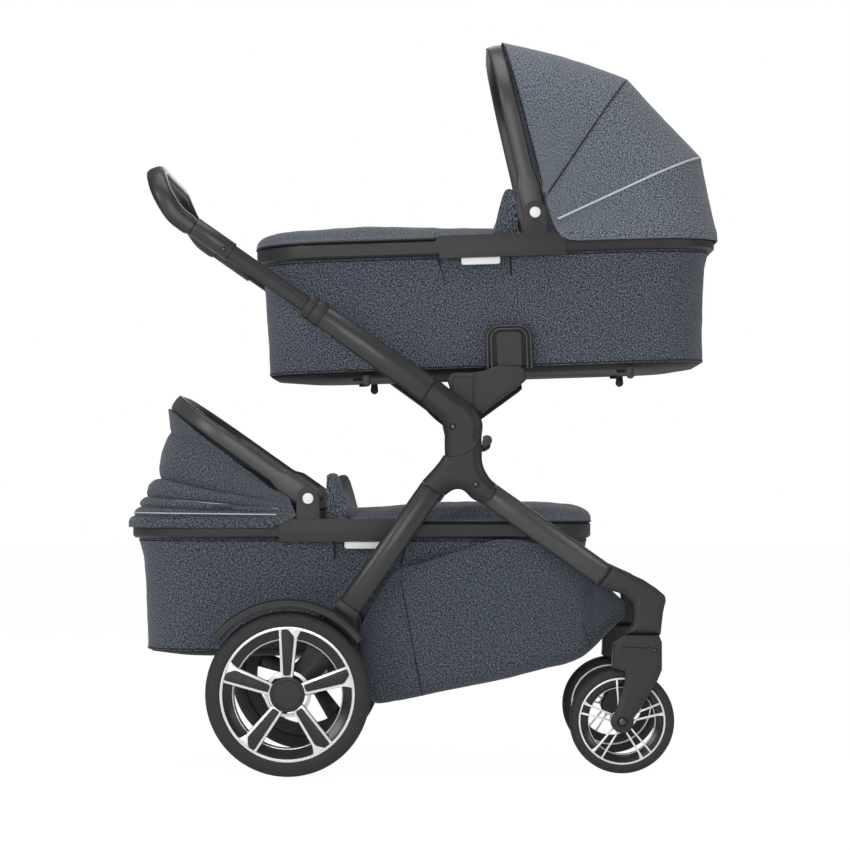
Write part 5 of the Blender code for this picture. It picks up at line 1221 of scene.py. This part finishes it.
def wind_flap(cot):
    place = COTS[cot]
    rows = []
    for j in range(FLAP_COLUMNS + 1):
        f = 2 * j / FLAP_COLUMNS - 1
        y = f * FLAP_HALF
        base = COVER_SEAT + COVER_RISE * crown(f * 0.975) * 0.62 + 0.002
        peak = FLAP_LOW + (FLAP_HIGH - FLAP_LOW) * abs(f) ** 3.0 + crinkle((0, y, 0), 0.04, 6) * 0.0015
        rise = peak - base
        line = [(0.013, base), (0.019, base + rise * 0.28), (0.025, base + rise * 0.57), (0.032, base + rise * 0.85),
                (0.0375, peak - 0.0022), (0.043, peak), (0.051, peak - 0.001), (0.056, peak - 0.0045),
                (0.057, base + rise * 0.5), (0.057, base)]
        rows.append([place(x, y, z) for x, z in line])
    for end in (0, -1):
        centre = sum((Vector(p) for p in rows[end]), Vector()) / len(rows[end])
        caps = [[Vector(p).lerp(centre, share) for p in rows[end]] for share in (0.35, 0.7, 0.97)]
        rows = rows + caps if end else caps[::-1] + rows
    flap = smooth(rounded(sheet_of(rows, True, (FILL, OUTWARD)), 0.0012, 3, 50), 50)
    finished(flap, f"{cot}_wind_flap", cot_cloth, f"{cot}_cot", "slate_fabric")


for cot in COTS:
    lid = cover(cot)
    wind_flap(cot)
print("covers done")

# %% [markdown]
# The open hood is cloth pulled over the bow, two inner ribs and the rail. Each of these carries an arch of points.
# Between two arches the cloth is nearly straight, and a crisp edge shows where a rib lies under it.

# %% Arches of a hood
HOOD_BODIES = {"upper": ("upper_cot", "upper_hood_bow", (0.515, 0, 0.93), (0.15, 0, 1.1)),
               "lower": ("lower_cot", "lower_hood_bow", (-0.51, 0, 0.43), (-0.33, 0, 0.56))}
ARCH_STEPS, TOP_STEPS = 16, 10
BOW_LIFT = 0.004


def arch(half, height, corner, foot_half):
    """An arch seen from the front: up a side that may lean, round a corner and over the top."""
    straight = height - corner
    shares = [k / ARCH_STEPS for k in range(ARCH_STEPS)]
    points = [(-(foot_half + (half - foot_half) * min(t * 1.6, 1.0)), straight * t) for t in shares]
    turns = [radians(90 * k / ARCH_STEPS) for k in range(ARCH_STEPS + 1)]
    points += [(-half + corner * (1 - cos(turn)), straight + corner * sin(turn)) for turn in turns]
    return mirrored(points + [((-half + corner) * (1 - k / TOP_STEPS), height) for k in range(1, TOP_STEPS + 1)])


def hood_row(base, apex, half, corner, foot_half=None):
    """An arch that stands on base, in x and z, and leans so that its top is at apex."""
    height = hypot(apex[0] - base[0], apex[1] - base[1])
    return [Vector((base[0] + (apex[0] - base[0]) * h / height, y, base[1] + (apex[1] - base[1]) * h / height))
            for y, h in arch(half, height, corner, foot_half or half)]


def between(row, other, share, bulge):
    """A row part of the way to another one, pushed out from the hood pivot by bulge."""
    made = []
    for point, goal in zip(row, other):
        middle = point.lerp(goal, share)
        out = Vector((middle.x - HOOD_PIVOT[0], middle.y * 0.3, middle.z - HOOD_PIVOT[1]))
        made.append(middle + out * (bulge / max(out.length, 0.05)))
    return made


def from_pivot(angle, distance):
    up, _ = leaning(angle)
    return (HOOD_PIVOT[0] + up[0] * distance, HOOD_PIVOT[1] + up[1] * distance)


def bow_row(angle, reach):
    """The hood's front edge, just behind the bow."""
    up, forward = leaning(angle)
    base, apex = ((HOOD_PIVOT[0] + forward[0] * ahead + up[0] * rise, HOOD_PIVOT[1] + forward[1] * ahead + up[1] * rise)
                  for ahead, rise in ((0.0235, 0.03), (0.016, reach + BOW_LIFT)))
    return hood_row(base, apex, BOW_SPAN + BOW_LIFT, BOW_BEND)


def hem_row(height, out=0.0034, start=0.145):
    return hood_row((start, height), (COT_HALF + out, height), COT_SIDE + out, COT_CORNER + out)


def panel(row, other, steps, bulge):
    """The rows of the cloth from one arch to the next."""
    shares = [k / steps for k in range(1, steps + 1)]
    return [between(row, other, t, bulge * 4 * t * (1 - t)) for t in shares]


def cloth_hood(cot, rows, wrinkle, cloth, **soft):
    """Turns rows in the cot's own frame into a hood with a pale lining, fixed in place in the world."""
    hood = sheet_of([[COTS[cot](*point) for point in row] for row in rows])
    faced_from(hood, Vector(COTS[cot](0.25, 0, 0.08)))
    wrinkle(hood)
    modify(hood, "SOLIDIFY", thickness=0.0026, offset=1, material_offset=1)
    finished(smooth(hood, 60), f"{cot}_hood_cloth_painted_light", (cloth, lining_cloth), HOOD_BODIES[cot], "slate_fabric",
             f"{cot}_cot_hood")


def outward(y, amount):
    """How far a piping stands out sideways: by the whole amount at the sides, and less towards the middle."""
    return copysign(amount * min(abs(y) / 0.19, 1), y)


print("hood helpers ready")

# %% Open hood
FIRST_RIB, FIRST_REACH, FIRST_HALF = 35.8, 0.2925, 0.207
SECOND_RIB, SECOND_REACH, SECOND_HALF = 72, 0.31, 0.211
RIB_BEND = 0.12


def open_hood():
    front = bow_row(*BOW["upper"])
    first = hood_row(from_pivot(FIRST_RIB, 0.032), from_pivot(FIRST_RIB, FIRST_REACH), FIRST_HALF, RIB_BEND)
    foot = (HOOD_PIVOT[0] + 0.0295, HOOD_PIVOT[1] - 0.0165)
    second = hood_row(foot, from_pivot(SECOND_RIB, SECOND_REACH), SECOND_HALF, RIB_BEND)
    seat = hem_row(0.0185, start=0.126)
    rows = [front] + panel(front, first, 22, 0.0062) + panel(first, second, 20, -0.0006)
    rows += panel(second, seat, 16, -0.0018)
    for t in (0.2, 0.4, 0.6, 0.8, 1):
        rows.append(hem_row(0.0185 - 0.014 * t, start=0.126 + 0.0205 * t * t))
    low = upper(0, 0, 0.03)[2]

    def wrinkle(hood):
        ruffle(hood, 0.0016, 0.085, 8, (0.5, 1.2, 1), lambda p: 1.0 if p.z > low else 0.15)
        ruffle(hood, 0.0005, 0.022, 12, (1, 1, 1), lambda p: 1.0 if p.z > low else 0.3)

    # The open hood takes the lighter copy of the heather, which is painted light.
    cloth_hood("upper", rows, wrinkle, hood_cloth_painted_light, area=0.35, held="stretched")
    pivot = Vector((HOOD_PIVOT[0], 0, HOOD_PIVOT[1]))
    for tag, row, radius, finish in (("rib_seam", first, 0.0011, seam_black), ("piping", second, 0.0019, piping_cloth),
                                     ("front_seam", front, 0.0013, seam_black)):
        line = [upper(*(p + (p - pivot).normalized() * 0.0012 + Vector((0, outward(p.y, 0.003), 0))))
                for p in row[1:-1]]
        finished(tube(line, radius), f"upper_hood_{tag}", finish, HOOD_BODIES["upper"], "slate_fabric")
    edge = [upper(*(p + Vector((0.0016 if abs(p.y) < 0.15 else 0, copysign(0.0018, p.y), 0))))
            for p in hem_row(0.0045, start=0.1465)[1:-1]]
    finished(tube(edge, 0.0016), "upper_hood_hem", hood_cloth_painted_light, "upper_cot", "slate_fabric")


open_hood()
print("open hood done")

# %% [markdown]
# The lower hood is folded back. Its cloth hangs from the bow and lies in stacked soft folds on the rail, deeper at the
# back than at the hinges. Each fold is a place in x and z, a half width, and how much deeper it lies.

# %% Folded hood
FOLDS = [(0.3345, 0.18, 0.199, 0), (0.332, 0.171, 0.2, 0), (0.3405, 0.156, 0.204, 0), (0.35, 0.133, 0.208, 0),
         (0.3535, 0.109, 0.21, 0), (0.35, 0.0905, 0.2085, -0.001), (0.348, 0.0862, 0.206, -0.003),
         (0.359, 0.085, 0.21, 0), (0.368, 0.076, 0.213, 0.0012), (0.3725, 0.064, 0.213, 0),
         (0.373, 0.056, 0.209, -0.003), (0.379, 0.053, 0.212, 0), (0.385, 0.046, 0.215, 0.001),
         (0.385, 0.039, 0.211, -0.003), (0.39, 0.0365, 0.214, 0), (0.396, 0.03, 0.2165, 0),
         (0.396, 0.024, 0.215, -0.0016)]
FOLD_ROWS = 96


def folded_hood():
    first, last = Vector((0.12, 0.052)), Vector((0.107, 0.025))
    folds = []
    for number, (x, z, half, deeper) in enumerate(FOLDS):
        base = first.lerp(last, number / (len(FOLDS) - 1))
        foot_half = BOW_SPAN + BOW_LIFT + 0.0145 * number / len(FOLDS)
        folds.append(hood_row(base, (x + deeper, z), half + deeper * 1.3, 0.115, foot_half))
    guides = [bow_row(*BOW["lower"])] + folds + [hem_row(0.018, start=0.118), hem_row(0.0045, start=0.15)]
    rows = [[curve_through(column, k / FOLD_ROWS) for column in zip(*guides)] for k in range(FOLD_ROWS + 1)]
    high = lower(0, 0, 0.085)[2]

    def wrinkle(hood):
        ruffle(hood, 0.0024, 0.07, 15, (0.6, 1, 1.4))
        ruffle(hood, 0.0012, 0.028, 18, (0.35, 0.8, 2.4), lambda p: 1.0 if p.z < high else 0.35)

    # The folded hood takes the darker copy of the heather, which is painted shade.
    cloth_hood("lower", rows, wrinkle, folded_cloth_painted_shade, area=0.21, held="folded")
    for tag, row in (("piping_a", folds[10]), ("piping_b", folds[15])):
        line = [lower(*(p + Vector((0.0024 * min(abs(p.x - 0.1) / 0.2, 1), outward(p.y, 0.0036), 0))))
                for p in row[3:-3]]
        finished(tube(line, 0.001), f"lower_hood_{tag}", piping_cloth, HOOD_BODIES["lower"], "slate_fabric")


folded_hood()
print("folded hood done")

# %% [markdown]
# The basket hangs between the legs as a deep cloth trough. Its sides bow out a little under their own weight, and seams
# run down near the back and near the front. A station holds a place along it, its floor, its top and its half width.

# %% Basket
BASKET_STATIONS = [(-0.1046, 0.186, 0.25, 0.212), (-0.0861, 0.124, 0.283, 0.215), (-0.0465, 0.122, 0.343, 0.2165),
                   (0.0099, 0.1325, 0.362, 0.217), (0.0719, 0.146, 0.382, 0.217), (0.1338, 0.1592, 0.4, 0.2165),
                   (0.1999, 0.175, 0.392, 0.2105), (0.2627, 0.1905, 0.366, 0.1925), (0.2981, 0.2145, 0.336, 0.1765),
                   (0.3499, 0.266, 0.29, 0.167)]
BASKET_BODIES = ("chassis", "front_frame", (0.06, 0, 0.42), (0.32, 0, 0.26))
BASKET_BEND = 0.03
BASKET_ROWS, BASKET_SIDE_STEPS, BASKET_BEND_STEPS, SEAM_STEPS = 90, 22, 8, 24


def basket_row(x, low, high, half):
    """A cross section of the trough: down a side that bows out a little, round the lower corner, over the floor."""
    bend = min(BASKET_BEND, (high - low) * 0.45)
    shares = [k / BASKET_SIDE_STEPS for k in range(BASKET_SIDE_STEPS)]
    side = [(-half + 0.0012 - 0.0012 * sin(pi * t), high + (low + bend - high) * t) for t in shares]
    turns = [radians(90 * k / BASKET_BEND_STEPS) for k in range(BASKET_BEND_STEPS + 1)]
    side += [(-half + bend * (1 - cos(turn)), low + bend * (1 - sin(turn))) for turn in turns]
    side += [((-half + bend) * (1 - k / BASKET_BEND_STEPS), low - 0.001 * sin(pi / 2 * k / BASKET_BEND_STEPS))
             for k in range(1, BASKET_BEND_STEPS + 1)]
    return [Vector((x, y, z)) for y, z in mirrored(side)]


def basket_share(x):
    """Where a place along the basket falls among its stations, from 0 to 1."""
    spans = len(BASKET_STATIONS) - 1
    share = 0.0
    for n in range(spans):
        start, end = BASKET_STATIONS[n][0], BASKET_STATIONS[n + 1][0]
        if start <= x <= end:
            share = (n + (x - start) / (end - start)) / spans
    return share


def basket_seam(top, bottom, side):
    """A line of stitches down one side, that follows the trough round its lower corner."""
    path = []
    for t in [k / SEAM_STEPS for k in range(SEAM_STEPS + 1)]:
        x, z = top[0] + (bottom[0] - top[0]) * t, top[1] + (bottom[1] - top[1]) * t
        _, low, _, half = point_through(BASKET_STATIONS, basket_share(x))
        drop = max(low + BASKET_BEND - z, 0.0)
        y = half - (BASKET_BEND - sqrt(max(BASKET_BEND * BASKET_BEND - drop * drop, 0.0)))
        path.append((x, side * (y + 0.0006), max(z, low + 0.001)))
    return tube(path, 0.0008)


rows = [basket_row(*point_through(BASKET_STATIONS, k / BASKET_ROWS)) for k in range(BASKET_ROWS + 1)]
trough = sheet_of(rows)
faced_from(trough, Vector((0.08, 0, 0.4)))
ruffle(trough, 0.0017, 0.09, 21, (0.7, 1, 0.9), lambda p: 1.0 if p.z < 0.36 else 0.4)
ruffle(trough, 0.0009, 0.032, 24, (1, 1, 0.6), lambda p: 1.5 if p.x < -0.03 or p.x > 0.25 else 0.5)
modify(trough, "SOLIDIFY", thickness=0.0026, offset=-1)
finished(smooth(trough, 60), "basket_cloth", basket_cloth, BASKET_BODIES, "slate_fabric", "basket")
seams = [basket_seam(top, bottom, side)
         for top, bottom in (((-0.036, 0.33), (0.001, 0.131)), ((0.268, 0.285), (0.29, 0.213))) for side in (-1, 1)]
finished(joined(seams), "basket_seams", seam_black, BASKET_BODIES, "slate_fabric")
hem = [tube([row[end] + Vector((0, 0, -0.001)) for row in rows], 0.0022) for end in (0, -1)]
finished(smooth(joined(hem), 60), "basket_hem", basket_cloth, BASKET_BODIES, "slate_fabric")
print("basket done")

# %% Finish
FINISH_OF_SLOT = {"charcoal_frame": frame_paint, "charcoal_plastic": case_plastic, "black_plastic": black_plastic,
                  "grip_leatherette": grip_leather, "tyre_rubber": black_plastic, "wheel_rim": silver,
                  "white_plastic": white_plastic, "slate_fabric": cot_cloth, "lining_fabric": lining_cloth}
slot_of = {row["node"]: row["material_slot"] for row in frame["record"]["subparts"]}
for name, thing in frame["nodes"].items():
    thing.data.materials.clear()
    thing.data.materials.append(FINISH_OF_SLOT[slot_of[name]])
